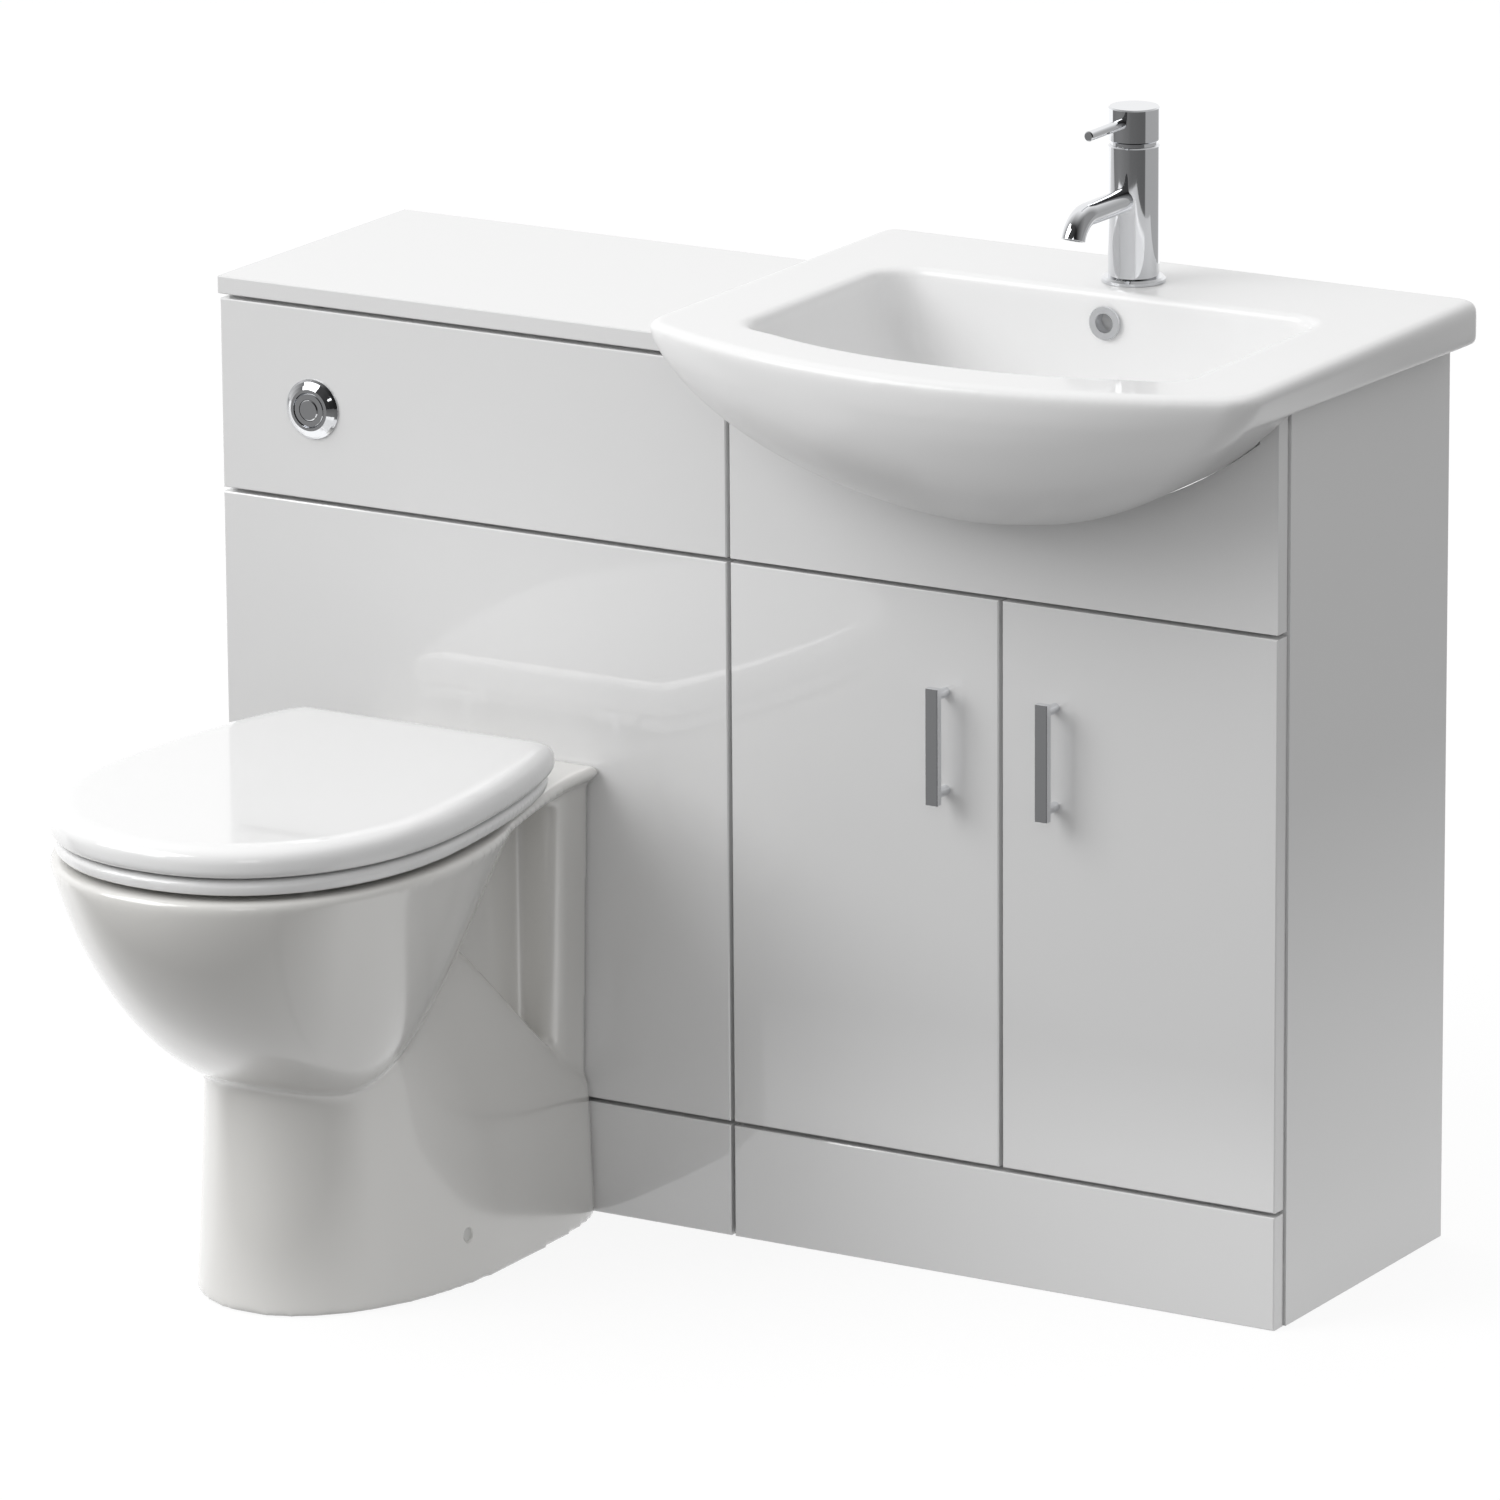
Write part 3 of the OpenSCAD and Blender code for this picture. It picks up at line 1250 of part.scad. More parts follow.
// Flush pipe: down from the valve, a quarter bend and forward to the pan
flush_pipe_d = 40;
pipe_bend_r = 46;
module flush_pipe() {
  color("whitesmoke") difference() {
    flush_path(flush_pipe_d);
    flush_path(flush_pipe_d - 5, 1);
  }
}

module flush_path(d, over = 0) {
  top_z = tank_z0 - nut_t;
  end_y = foot_back_y + 6;
  translate([flush_x, flush_y, inlet_z + pipe_bend_r])
    cylinder(d = d, h = top_z - inlet_z - pipe_bend_r + over);
  translate([flush_x, flush_y - pipe_bend_r, inlet_z + pipe_bend_r]) rotate([0, 90, 0])
    rotate_extrude(angle = 90) translate([pipe_bend_r, 0]) circle(d = d);
  y_rod(flush_x, end_y - over, flush_y - pipe_bend_r, inlet_z, d);
}

module flush_cone() {
  color("dimgray") difference() {
    union() {
      y_rod(pan_cx, foot_back_y + 6, foot_back_y + inlet_l + 1, inlet_z, inlet_bore - 2 * run_fit);
      y_rod(pan_cx, foot_back_y + inlet_l + touch, foot_back_y + inlet_l + 12, inlet_z,
        inlet_bore + 10);
    }
    y_rod(pan_cx, foot_back_y, foot_back_y + inlet_l + 20, inlet_z, flush_pipe_d + 0.2);
  }
}

// Fill valve with the fork of its float arm; heights from the tank's floor
fork_x = -20;
fork_z = tank_h - 81;
fork_pin_d = 4;
module fill_valve() {
  color("lightblue") translate([fill_x, flush_y, tank_z0]) difference() {
    union() {
      translate([0, 0, -fill_tail_l]) cylinder(d = fill_end_d, h = fill_tail_l);
      translate([0, 0, -nut_t - touch]) cylinder(d = fill_tail_d, h = nut_t + tank_wall + 1);
      translate([0, 0, tank_wall]) cylinder(d = fill_tail_d + 10, h = 6);
      translate([0, 0, 8]) cylinder(d = 22, h = fork_z - 9);
      translate([0, 0, fork_z - 14]) cylinder(d = 34, h = 28);
      translate([fork_x - 4, -8, fork_z - 7]) cube([14, 16, 14]);
    }
    translate([0, 0, -fill_tail_l - 1]) cylinder(d = 12, h = fill_tail_l + 20);
    translate([fork_x - 10, -3.2, fork_z - 9]) cube([14, 6.4, 20]);
    y_rod(fork_x, -10, 10, fork_z, fork_pin_d);
  }
}

module float_arm() {
  color("lightblue") translate([fill_x + fork_x, flush_y, tank_z0 + fork_z]) {
    translate([-40, -2.8, -3]) cube([42.4, 5.6, 6]);
    translate([-70, -18, -52]) cube([32, 36, 56]);
    y_rod(0, -8, 8, 0, fork_pin_d - 2 * run_fit);
  }
}

// ---------- flush button ----------

barrel_d = 38;
barrel_l = 42;
full_d = 31;
half_d = 19;
button_travel = 4;
bezel_out = 7;

module at_button() {
  translate([-wc_w + button_x, face_y, button_z]) rotate([90, 0, 0]) children();
}

// Domed flange with its barrel through the panel, closed at the back
button_nut_t = 10;
button_nut_d = 52;
module button_bezel() {
  color("silver") at_button() difference() {
    union() {
      translate([0, 0, touch]) rotate_extrude() polygon([[0, 0], [bezel_d / 2, 0],
        [bezel_d / 2, 1.2], [bezel_d / 2 - 2, 3.2], [bezel_d / 2 - 5, 5.2],
        [full_d / 2 + 3, bezel_out], [0, bezel_out]]);
      translate([0, 0, -barrel_l]) cylinder(d = barrel_d, h = barrel_l + 1);
    }
    translate([0, 0, -button_travel - 6]) cylinder(d = full_d + 2 * slide_fit, h = 40);
    translate([0, 0, -barrel_l + 4]) cylinder(d = stem_bore, h = barrel_l);
    translate([0, 0, -barrel_l - 1]) cylinder(d = 6, h = 10);
  }
}

module button_nut() {
  color("gainsboro") at_button() translate([0, 0, -front_t - button_nut_t]) difference() {
    cylinder(d = button_nut_d, h = button_nut_t, $fn = 8);
    translate([0, 0, -1]) cylinder(d = barrel_d + 0.2, h = button_nut_t + 2);
  }
}

button_face = bezel_out + touch;
button_back = -1;         // level of the buttons' back faces
stem_bore = 10;
module full_flush_button() {
  color("silver") at_button() difference() {
    rotate_extrude() polygon([[0, button_back], [full_d / 2, button_back],
      [full_d / 2, button_face - 1.2], [full_d / 2 - 1.2, button_face], [0, button_face]]);
    translate([0, 0, button_back - 1]) cylinder(d = half_d + 2 * slide_fit, h = 20);
  }
}

module half_flush_button() {
  color("silver") at_button() {
    rotate_extrude() polygon([[0, button_back], [half_d / 2, button_back],
      [half_d / 2, button_face - 0.2], [half_d / 2 - 1, button_face + 0.8],
      [0, button_face + 0.8]]);
    translate([0, 0, -button_travel - 12])
      cylinder(d = stem_bore - 4, h = button_travel + 12.5 + button_back);
  }
}

wc_sides();
wc_front_rails();
wc_back_rails();
worktop();
wc_upper_panel();
wc_lower_panel();
wc_plinth();
vanity_sides();
vanity_base();
vanity_front_rail();
vanity_back_rail();
vanity_back_panel();
vanity_fascia();
vanity_plinth();
panel_clips();
left_door();
right_door();
left_handle();
right_handle();
left_hinge_cups();
right_hinge_cups();
hinge_arms();
door_buffers();
basin();
overflow_ring();
waste_body();
waste_plug();
waste_nut();
bottle_trap();
trap_outlet();
tap_body();
tap_aerator();
tap_cartridge();
tap_spindle();
tap_cap();
tap_lever();
tap_back_nut();
pan();
pan_connector();
pan_screws();
pan_screw_caps();
floor_brackets();
seat_ring();
seat_lid();
seat_hinges();
ring_buffers();
lid_buffers();
cistern_tank();
cistern_lid();
flush_valve();
flush_nut();
flush_pipe();
flush_cone();
fill_valve();
fill_nut();
float_arm();
button_bezel();
button_nut();
full_flush_button();
half_flush_button();
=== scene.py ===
import json
import math

import bpy
from mathutils import Euler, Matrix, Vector


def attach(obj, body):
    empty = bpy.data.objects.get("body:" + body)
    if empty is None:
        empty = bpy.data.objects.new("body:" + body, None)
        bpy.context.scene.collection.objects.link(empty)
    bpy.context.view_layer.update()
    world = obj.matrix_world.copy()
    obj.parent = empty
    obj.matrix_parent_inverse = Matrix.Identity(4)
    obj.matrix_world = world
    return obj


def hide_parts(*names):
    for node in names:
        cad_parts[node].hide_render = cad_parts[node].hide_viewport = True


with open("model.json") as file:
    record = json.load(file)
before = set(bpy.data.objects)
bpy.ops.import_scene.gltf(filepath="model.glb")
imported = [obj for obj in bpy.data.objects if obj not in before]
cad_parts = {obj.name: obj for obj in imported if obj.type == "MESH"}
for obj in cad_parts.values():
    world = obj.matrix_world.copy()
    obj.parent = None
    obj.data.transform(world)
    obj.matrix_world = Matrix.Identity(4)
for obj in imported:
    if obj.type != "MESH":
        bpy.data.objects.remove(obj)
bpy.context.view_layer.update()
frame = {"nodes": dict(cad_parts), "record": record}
nodes = frame["nodes"]
slots = {p["node"]: p["material_slot"] for p in frame["record"]["subparts"]}
scene = bpy.context.scene


# ---------- sizes, in millimetres, as in the part's source ----------

FACE_Y = -303.0                 # the fronts of the cabinets

PAN_CX, PAN_H, PAN_W = -249.5, 406.0, 352.0
PAN_WIDE_Y = FACE_Y - 327.0     # the pan's widest line
RIM_B, RIM_C, PAN_ROUND = 215.0, 199.0, 6.0     # rim before and behind it, and its rounding
BOWL_TOP, BOWL_LOW = PAN_H - PAN_ROUND, 180.0
BOWL_BACK_HALF = 0.44 * PAN_W / 2
FOOT_BACK_Y = FACE_Y - 0.3
FOOT_W, DECK_W, PAN_WALL = 256.0, 240.0, 13.0
OUTLET_Z, INLET_Z, HOLLOW_Z = 185.0, 335.0, 195.0
SCREW_Y, SCREW_Z = -529.0, 44.0

LID_W, LID_BACK_HALF = 350.0, 127.0
LID_REAR, LID_FRONT = 237.0, RIM_B - 4.0
RING_Z, RING_T, LID_Z, LID_T = 411.0, 13.5, 427.0, 25.0
HINGE_X, HINGE_Y, HINGE_Z = 77.0, -401.0, 420.0
BARREL_R, BARREL_L, PIN_BORE_R = 6.5, 14, 3.06

BASIN_CX, BASIN_Z, RIM_TOP, BASIN_BOTTOM = 271.0, 797.0, 835.0, 677.0
BASIN_W, RIM_CORNER_R, NOSE_Y, CORNER_Y = 582.0, 40.0, 488.0, 418.0
BOWL_HALF, BOWL_DEPTH, BOWL_LIP = 209.0, 132.0, 8.0
BOWL_BACK_Y, WASTE_Y, TAP_Y = 128.0, 215.0, 80.0
BELLY_TOP = 830.0               # where the body starts to draw in
BELLY_Y = -300                  # the line that it draws in towards
PASSAGE_X = (21, 512)           # the body's sides between the cabinet's boards
FASCIA_GAP = 0.6
RIM_EDGE_R, RIM_LIP_R = 5, 9    # roundings under and over the rim

CERAMIC_GRAIN, PLASTIC_GRAIN = 2.5, 1.6         # how finely the mouldings are run together


# ---------- mesh helpers ----------

def new_mesh(name, verts, faces):
    """A piece from points in millimetres."""
    mesh = bpy.data.meshes.new(name)
    mesh.from_pydata([(x / 1000, y / 1000, z / 1000) for x, y, z in verts], [], faces)
    mesh.validate()
    obj = bpy.data.objects.new(name, mesh)
    scene.collection.objects.link(obj)
    return obj


def skin(name, rings):
    """A closed skin through rings of points, lowest first, anticlockwise from above."""
    n, m = len(rings[0]), len(rings)
    faces = [tuple(range(n - 1, -1, -1)), tuple((m - 1) * n + i for i in range(n))]
    for k in range(m - 1):
        for i in range(n):
            j = (i + 1) % n
            faces.append((k * n + i, k * n + j, (k + 1) * n + j, (k + 1) * n + i))
    return new_mesh(name, [p for r in rings for p in r], faces)


def tube(name, p, q, r, steps=64):
    """A round bar from p to q."""
    p, q = Vector(p), Vector(q)
    turn = (q - p).to_track_quat("Z", "Y")
    ring = [turn @ Vector((r * math.cos(a), r * math.sin(a), 0))
            for a in (2 * math.pi * i / steps for i in range(steps))]
    return skin(name, [[tuple(p + v) for v in ring], [tuple(q + v) for v in ring]])


def block(name, lo, hi):
    """A box between two corners."""
    (a, b, c), (d, e, f) = lo, hi
    return skin(name, [[(a, b, z), (d, b, z), (d, e, z), (a, e, z)] for z in (c, f)])


def combine(obj, kind, others):
    """Cuts with, keeps only, or adds the other pieces, which are used up."""
    for o in others:
        m = obj.modifiers.new("cut", "BOOLEAN")
        m.operation, m.solver, m.object = kind, "EXACT", o
    bake(obj)
    for o in others:
        bpy.data.objects.remove(o)
    return obj


def bake(obj):
    """Makes what the modifiers show the object's own mesh."""
    bpy.context.view_layer.update()
    mesh = bpy.data.meshes.new_from_object(obj.evaluated_get(
        bpy.context.evaluated_depsgraph_get()))
    obj.modifiers.clear()
    obj.data = mesh
    return obj


def soften(obj, voxel, rounds):
    """Runs the pieces of a moulding into one another, as glaze and moulded plastic do."""
    m = obj.modifiers.new("one_skin", "REMESH")
    m.mode, m.voxel_size, m.use_smooth_shade = "VOXEL", voxel / 1000, True
    m = obj.modifiers.new("soft", "SMOOTH")
    m.factor, m.iterations = 0.5, rounds
    shade(bake(obj))
    return obj


def shade(obj):
    """Shades the piece smooth."""
    for p in obj.data.polygons:
        p.use_smooth = True


def spow(v, e):
    """A power that keeps the sign."""
    return math.copysign(abs(v) ** e, v)


def egg(a, h, c, b, m=1.7, n=2.16, steps=36):
    """Half as wide as a at its widest, with a straight back of half width h at c behind that
    and a nose b before it. m and n set how full the back and the front are."""
    quarter = [math.radians(90 * i / steps) for i in range(steps + 1)]
    right = [(h + (a - h) * max(0, math.cos(t)) ** (2 / m), c * math.sin(t) ** (2 / m))
             for t in quarter]
    left = [(-x, y) for x, y in reversed(right)]
    front = []
    for i in range(1, 2 * steps):
        t = math.radians(180 + 90 * i / steps)
        front.append((a * spow(math.cos(t), 2 / n), -b * max(0, -math.sin(t)) ** (2 / n)))
    return right + left + front


def lift(outline, x, y, z):
    """The outline as a ring of points, moved to x and y at height z."""
    return [(px + x, py + y, z) for px, py in outline]


def factor(u, p, q):
    """How wide a superellipse is at u, from 1 at 0 to 0 at 1."""
    return max(0.0, 1 - u ** p) ** (1 / q)


# ---------- pan ----------

def pan_share(u):
    """The bowl's half width, its back and its nose at a share u of its depth, as shares."""
    side = factor(u, 0.85, 3.63)
    return side, side ** 1.41, factor(u, 1.53, 1.45)


def pan_ring(a, h, c, b, z, y=0.0):
    return lift(egg(a, h, c, b, 2, 2.1), PAN_CX, PAN_WIDE_Y + y, z)


def pan_rod(name, y0, y1, z, r):
    """A bar along the pan's middle, between two distances from the foot's back."""
    return tube(name, (PAN_CX, FOOT_BACK_Y + y0, z), (PAN_CX, FOOT_BACK_Y + y1, z), r)


def pan_piece():
    def ring(u):
        side, rear, nose = pan_share(u)
        return pan_ring(PAN_W / 2 * side, BOWL_BACK_HALF * side * (1 - u), RIM_C * rear,
                        RIM_B * nose, BOWL_TOP - u * (BOWL_TOP - BOWL_LOW))

    rings = [ring(0.995 * math.cos(math.radians(90 * i / 40))) for i in range(41)]
    for i in range(1, 7):
        t = math.radians(15 * i)
        g = PAN_ROUND * (1 - math.cos(t))
        rings.append(pan_ring(PAN_W / 2 - g, BOWL_BACK_HALF, RIM_C - g, RIM_B - g,
                              PAN_H - PAN_ROUND * (1 - math.sin(t))))
    bowl = skin("pan_glazed", rings)

    # Each row of the foot: height, widest line from the back, draw-in of its sides, nose from
    # the back, start of its back from the back, draw-in of its back
    rows = [(0, 173, 0, 389, 0, 24), (60, 178, 5, 385.5, 0, 25), (120, 190, 11, 382, 0, 26),
            (150, 200, 15, 380.5, 40, 30), (185, 215, 20, 379, 78, 34),
            (225, 240, 26, 377, 117, 40), (270, 262, 34, 372, 160, 50),
            (300, 280, 46, 360, 190, 66)]

    def foot(name, inset=0.0, low=0.0):
        return skin(name, [
            lift(egg(FOOT_W / 2 - r[2] - inset, FOOT_W / 2 - r[5] - inset,
                     r[1] - r[4] - inset, r[3] - r[1] - inset, 2.4, 2.05),
                 PAN_CX, FOOT_BACK_Y - r[1], r[0] - (low if r[0] == 0 else 0))
            for r in rows if not inset or r[0] < 130])

    def column(z, w, d=54.0, r=12.0):
        return lift([(w, -d + r), (w, -4), (w - 4, 0), (-w + 4, 0), (-w, -4), (-w, -d + r),
                     (-w + r * 0.3, -d + r * 0.3), (-w + r, -d), (w - r, -d),
                     (w - r * 0.3, -d + r * 0.3)], PAN_CX, FOOT_BACK_Y, z)

    def deck(z, g, w2):
        w = DECK_W / 2 - g
        side = [(w + (w2 - g - w) * (i / 14) ** 1.3, -40 - 150 * i / 14) for i in range(15)]
        return lift([(w, 0), (-w, 0)] + [(-x, y) for x, y in side] + side[::-1],
                    PAN_CX, FOOT_BACK_Y, z)

    half = DECK_W / 2
    parts = [foot("foot"),
             skin("column", [column(0, half - 20), column(PAN_H - 14, half - 11)]),
             skin("deck", [deck(PAN_H - 38, 78, 136), deck(PAN_H - 20, 16, 144),
                           deck(PAN_H - 8, 0, 150), deck(PAN_H - 2, 1.5, 149),
                           deck(PAN_H - 0.3, 5, 146)]),
             block("web", (PAN_CX - 68, FOOT_BACK_Y - 220, 60),
                   (PAN_CX + 68, FOOT_BACK_Y - 20, PAN_H - 30)),
             pan_rod("spigot", -10, 62, OUTLET_Z, 51),
             pan_rod("inlet", -10, 22, INLET_Z, 28)]
    combine(bowl, "UNION", parts)

    levels = []
    for i in range(25):
        u = i / 24
        s, back = 0.3 + 0.7 * factor(1 - u, 2.2, 2.0), 50 * (1 - u) - 6
        z = HOLLOW_Z + (PAN_H - 44 - HOLLOW_Z) * u
        f, rear, nose = pan_share((BOWL_TOP - z) / (BOWL_TOP - BOWL_LOW))
        levels.append(pan_ring(min((PAN_W / 2 - 34) * s, 0.93 * f * PAN_W / 2 - PAN_WALL), 20 * s,
                               min(165 * s, RIM_C * rear - back - PAN_WALL),
                               min((RIM_B - 34) * s, RIM_B * nose + back - PAN_WALL), z, back))
    for z in (PAN_H - 30, PAN_H - 6, PAN_H + 1):
        levels.append(pan_ring(PAN_W / 2 - 48, 20, 150, RIM_B - 48, z, -6))
    weir = (PAN_CX, FOOT_BACK_Y - 118, 262)
    cuts = [skin("inside", levels), foot("hollow", 11, 1),
            tube("flush", (PAN_CX, PAN_WIDE_Y + 130, INLET_Z),
                 (PAN_CX, FOOT_BACK_Y + 23, INLET_Z), 22.5),
            tube("trap_up", (PAN_CX, PAN_WIDE_Y + 60, 215), weir, 28),
            tube("trap_down", weir, (PAN_CX, FOOT_BACK_Y - 60, OUTLET_Z), 28),
            pan_rod("outlet", -60, 63, OUTLET_Z, 42)]
    for d in (-1, 1):
        cuts.append(tube("stud", (PAN_CX + d * HINGE_X, HINGE_Y, PAN_H - 18),
                         (PAN_CX + d * HINGE_X, HINGE_Y, PAN_H + 10), 6))
    combine(bowl, "DIFFERENCE", cuts)
    soften(bowl, CERAMIC_GRAIN, 16)
    combine(bowl, "DIFFERENCE", [
        tube("screw", (PAN_CX + d * x, SCREW_Y, SCREW_Z), (PAN_CX + d * 150, SCREW_Y, SCREW_Z),
             r, 32)
        for d in (-1, 1) for x, r in ((100, 3.75), (115.8, 6))])
    shade(bowl)
    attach(bowl, "frame")
    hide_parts("pan")
    return bowl


# ---------- seat ----------

def seat_outline(inset):
    """The lid's outline, which the ring follows a little inside."""
    return egg(LID_W / 2 - inset, LID_BACK_HALF - inset, LID_REAR - inset,
               LID_FRONT - inset, 1.55, 2.18)


def knuckles(obj, side, z0, z1, y0, y1):
    """The barrels round the hinge pins, with the bars that join them to the moulding."""
    adds, cuts = [], []
    for d in (-1, 1):
        near = HINGE_X + side * 7.5
        far = near + side * BARREL_L
        adds.append(tube("barrel", (PAN_CX + d * near, HINGE_Y, HINGE_Z),
                         (PAN_CX + d * far, HINGE_Y, HINGE_Z), BARREL_R))
        xs = sorted((PAN_CX + d * near, PAN_CX + d * far))
        adds.append(block("bar", (xs[0], y0, z0), (xs[1], y1, z1)))
        cuts.append(tube("bore", (PAN_CX + d * (near - side), HINGE_Y, HINGE_Z),
                         (PAN_CX + d * (far + side), HINGE_Y, HINGE_Z), PIN_BORE_R, 32))
    combine(obj, "UNION", adds)
    combine(obj, "DIFFERENCE", cuts)


def ring_piece():
    outer = [lift(seat_outline(g), PAN_CX, PAN_WIDE_Y, RING_Z + z) for z, g in
             [(0, 7), (2, 5), (RING_T - 5, 4), (RING_T - 1.5, 7), (RING_T, 12)]]
    inner = [lift(egg(LID_W / 2 - 66 - g, 30, 115 - g, LID_FRONT - 66 - g, 2, 2.1),
                  PAN_CX, PAN_WIDE_Y, RING_Z + z)
             for z, g in [(-1, 2), (3, -2), (RING_T - 4, -3), (RING_T + 1, 4)]]
    ring = skin("seat_ring_moulded", outer)
    combine(ring, "DIFFERENCE", [skin("hole", inner), block(
        "notch", (PAN_CX - HINGE_X - 25, HINGE_Y - 14, RING_Z - 1),
        (PAN_CX + HINGE_X + 25, HINGE_Y + 26, RING_Z + RING_T + 1))])
    soften(ring, PLASTIC_GRAIN, 6)
    knuckles(ring, 1, HINGE_Z - 6, HINGE_Z + 2, HINGE_Y - 18, HINGE_Y)
    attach(ring, "seat_ring")
    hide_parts("seat_ring")
    return ring


def lid_piece():
    top = LID_T
    outer = [lift(seat_outline(g), PAN_CX, PAN_WIDE_Y, LID_Z + z) for z, g in
             [(0, 3), (2, 1), (5, 0), (top - 13, 0), (top - 10, 0.6), (top - 7, 2),
              (top - 5, 3.8), (top - 3, 6.5), (top - 1.8, 9.5), (top - 0.8, 13),
              (top - 0.3, 17), (top, 22)]]
    inner = [lift(seat_outline(g), PAN_CX, PAN_WIDE_Y, LID_Z + z) for z, g in
             [(-1, 10), (top - 12, 10), (top - 6, 16), (top - 5, 26)]]
    lid = skin("seat_lid_moulded", outer)
    combine(lid, "DIFFERENCE", [skin("under", inner)])
    soften(lid, PLASTIC_GRAIN, 8)
    knuckles(lid, -1, HINGE_Z, LID_Z + top - 4, HINGE_Y - 5, HINGE_Y + 5)
    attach(lid, "seat_lid")
    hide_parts("seat_lid")
    return lid


# ---------- basin ----------

def rim_outline(inset=0.0, sides=14, front=60):
    """The basin from above: straight back and sides, round corners and a bowed front."""
    half = BASIN_W / 2
    bow_half, sag = half - RIM_CORNER_R * 0.4, NOSE_Y - CORNER_Y
    bow_r = (bow_half ** 2 + sag ** 2) / (2 * sag)
    w, rc = half - inset, RIM_CORNER_R - min(inset, RIM_CORNER_R - 8)
    br, cy = bow_r - inset, -NOSE_Y + bow_r
    cx = w - rc
    ccy = cy - math.sqrt((br - rc) ** 2 - cx * cx)
    turn = math.degrees(math.asin(cx / (br - rc)))
    back_r, back_y = 10, -inset * 0.2

    def at(x, y, r, deg):
        t = math.radians(deg)
        return (x + r * math.cos(t), y + r * math.sin(t))

    pts = [at(w - back_r, back_y - back_r, back_r, 15 * i) for i in range(7)]
    pts += [at(-w + back_r, back_y - back_r, back_r, 90 + 15 * i) for i in range(7)]
    pts += [at(-cx, ccy, rc, 180 + (90 - turn) * i / sides) for i in range(sides + 1)]
    pts += [at(0, cy, br, 270 - turn + 2 * turn * i / front) for i in range(1, front)]
    pts += [at(cx, ccy, rc, 270 + turn + (90 - turn) * i / sides) for i in range(sides + 1)]
    return pts


def bowl_outline(sx, sy):
    """The bowl from above, scaled about its waste: straight back and sides, bowed front."""
    w, y0, y1 = BOWL_HALF, -BOWL_BACK_Y, -NOSE_Y + 65
    sag, rc, n = 34, 34, 14
    pts = []
    for a, cxs in ((0, 1), (90, -1)):
        for i in range(n + 1):
            t = math.radians(a + 90 * i / n)
            pts.append((cxs * (w - rc) + rc * math.cos(t), y0 - rc + rc * math.sin(t)))
    for i in range(n + 1):
        t = math.radians(180 + 78 * i / n)
        pts.append((-w + rc + rc * math.cos(t), y1 + sag + rc * (1 + math.sin(t))))
    for i in range(1, 40):
        v = (i - 20) / 20
        pts.append(((w - rc) * v, y1 + sag * abs(v) ** 2.2))
    for i in range(n + 1):
        t = math.radians(282 + 78 * i / n)
        pts.append((w - rc + rc * math.cos(t), y1 + sag + rc * (1 + math.sin(t))))
    return [(x * sx, -WASTE_Y + (y + WASTE_Y) * sy) for x, y in pts]


def taper(u):
    """How far the basin's body has drawn in at a share u of its height, across and forwards."""
    return factor(u, 1.4, 1.75), factor(u, 2.1, 2.0)


def belly(name, grow=0.0):
    """The basin's body below its rim, which runs out of the rim without a step."""
    out, base = [], rim_outline(0.3 - grow)
    for i in range(36, -1, -1):
        u = 0.985 * math.sin(math.radians(90 * i / 36))
        sx, sy = taper(u)
        out.append([(BASIN_CX + x * sx, BELLY_Y + (y - BELLY_Y) * sy,
                     BELLY_TOP - u * (BELLY_TOP - BASIN_BOTTOM + grow)) for x, y in base])
    return skin(name, out)


def rim_ring(inset, z):
    """The rim's outline, which in front of the cupboard draws in towards the body."""
    sx, sy = taper(max(0.0, (BELLY_TOP - z) / (BELLY_TOP - BASIN_BOTTOM)))
    out = []
    for x, y in rim_outline(inset):
        t = min(1.0, max(0.0, (-y - 250) / 90))
        w = t * t * (3 - 2 * t)
        out.append((BASIN_CX + x * (1 - w + w * sx),
                    y if y > BELLY_Y else BELLY_Y + (y - BELLY_Y) * (1 - w + w * sy), z))
    return out


def fascia_piece():
    """The board over the doors, cut closely round the basin's body."""
    cad = nodes["vanity_fascia"]
    corners = [cad.matrix_world @ Vector(c) * 1000 for c in cad.bound_box]
    lo, hi = ([pick(c[i] for c in corners) for i in range(3)] for pick in (min, max))
    room = block("room", (PASSAGE_X[0] - FASCIA_GAP, -NOSE_Y, 666),
                 (PASSAGE_X[1] + FASCIA_GAP, -94, RIM_TOP))
    cut = combine(belly("cut", FASCIA_GAP), "INTERSECT", [room])
    board = combine(block("fascia_board", lo, hi), "DIFFERENCE", [cut])
    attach(board, "frame")
    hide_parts("vanity_fascia")
    return board


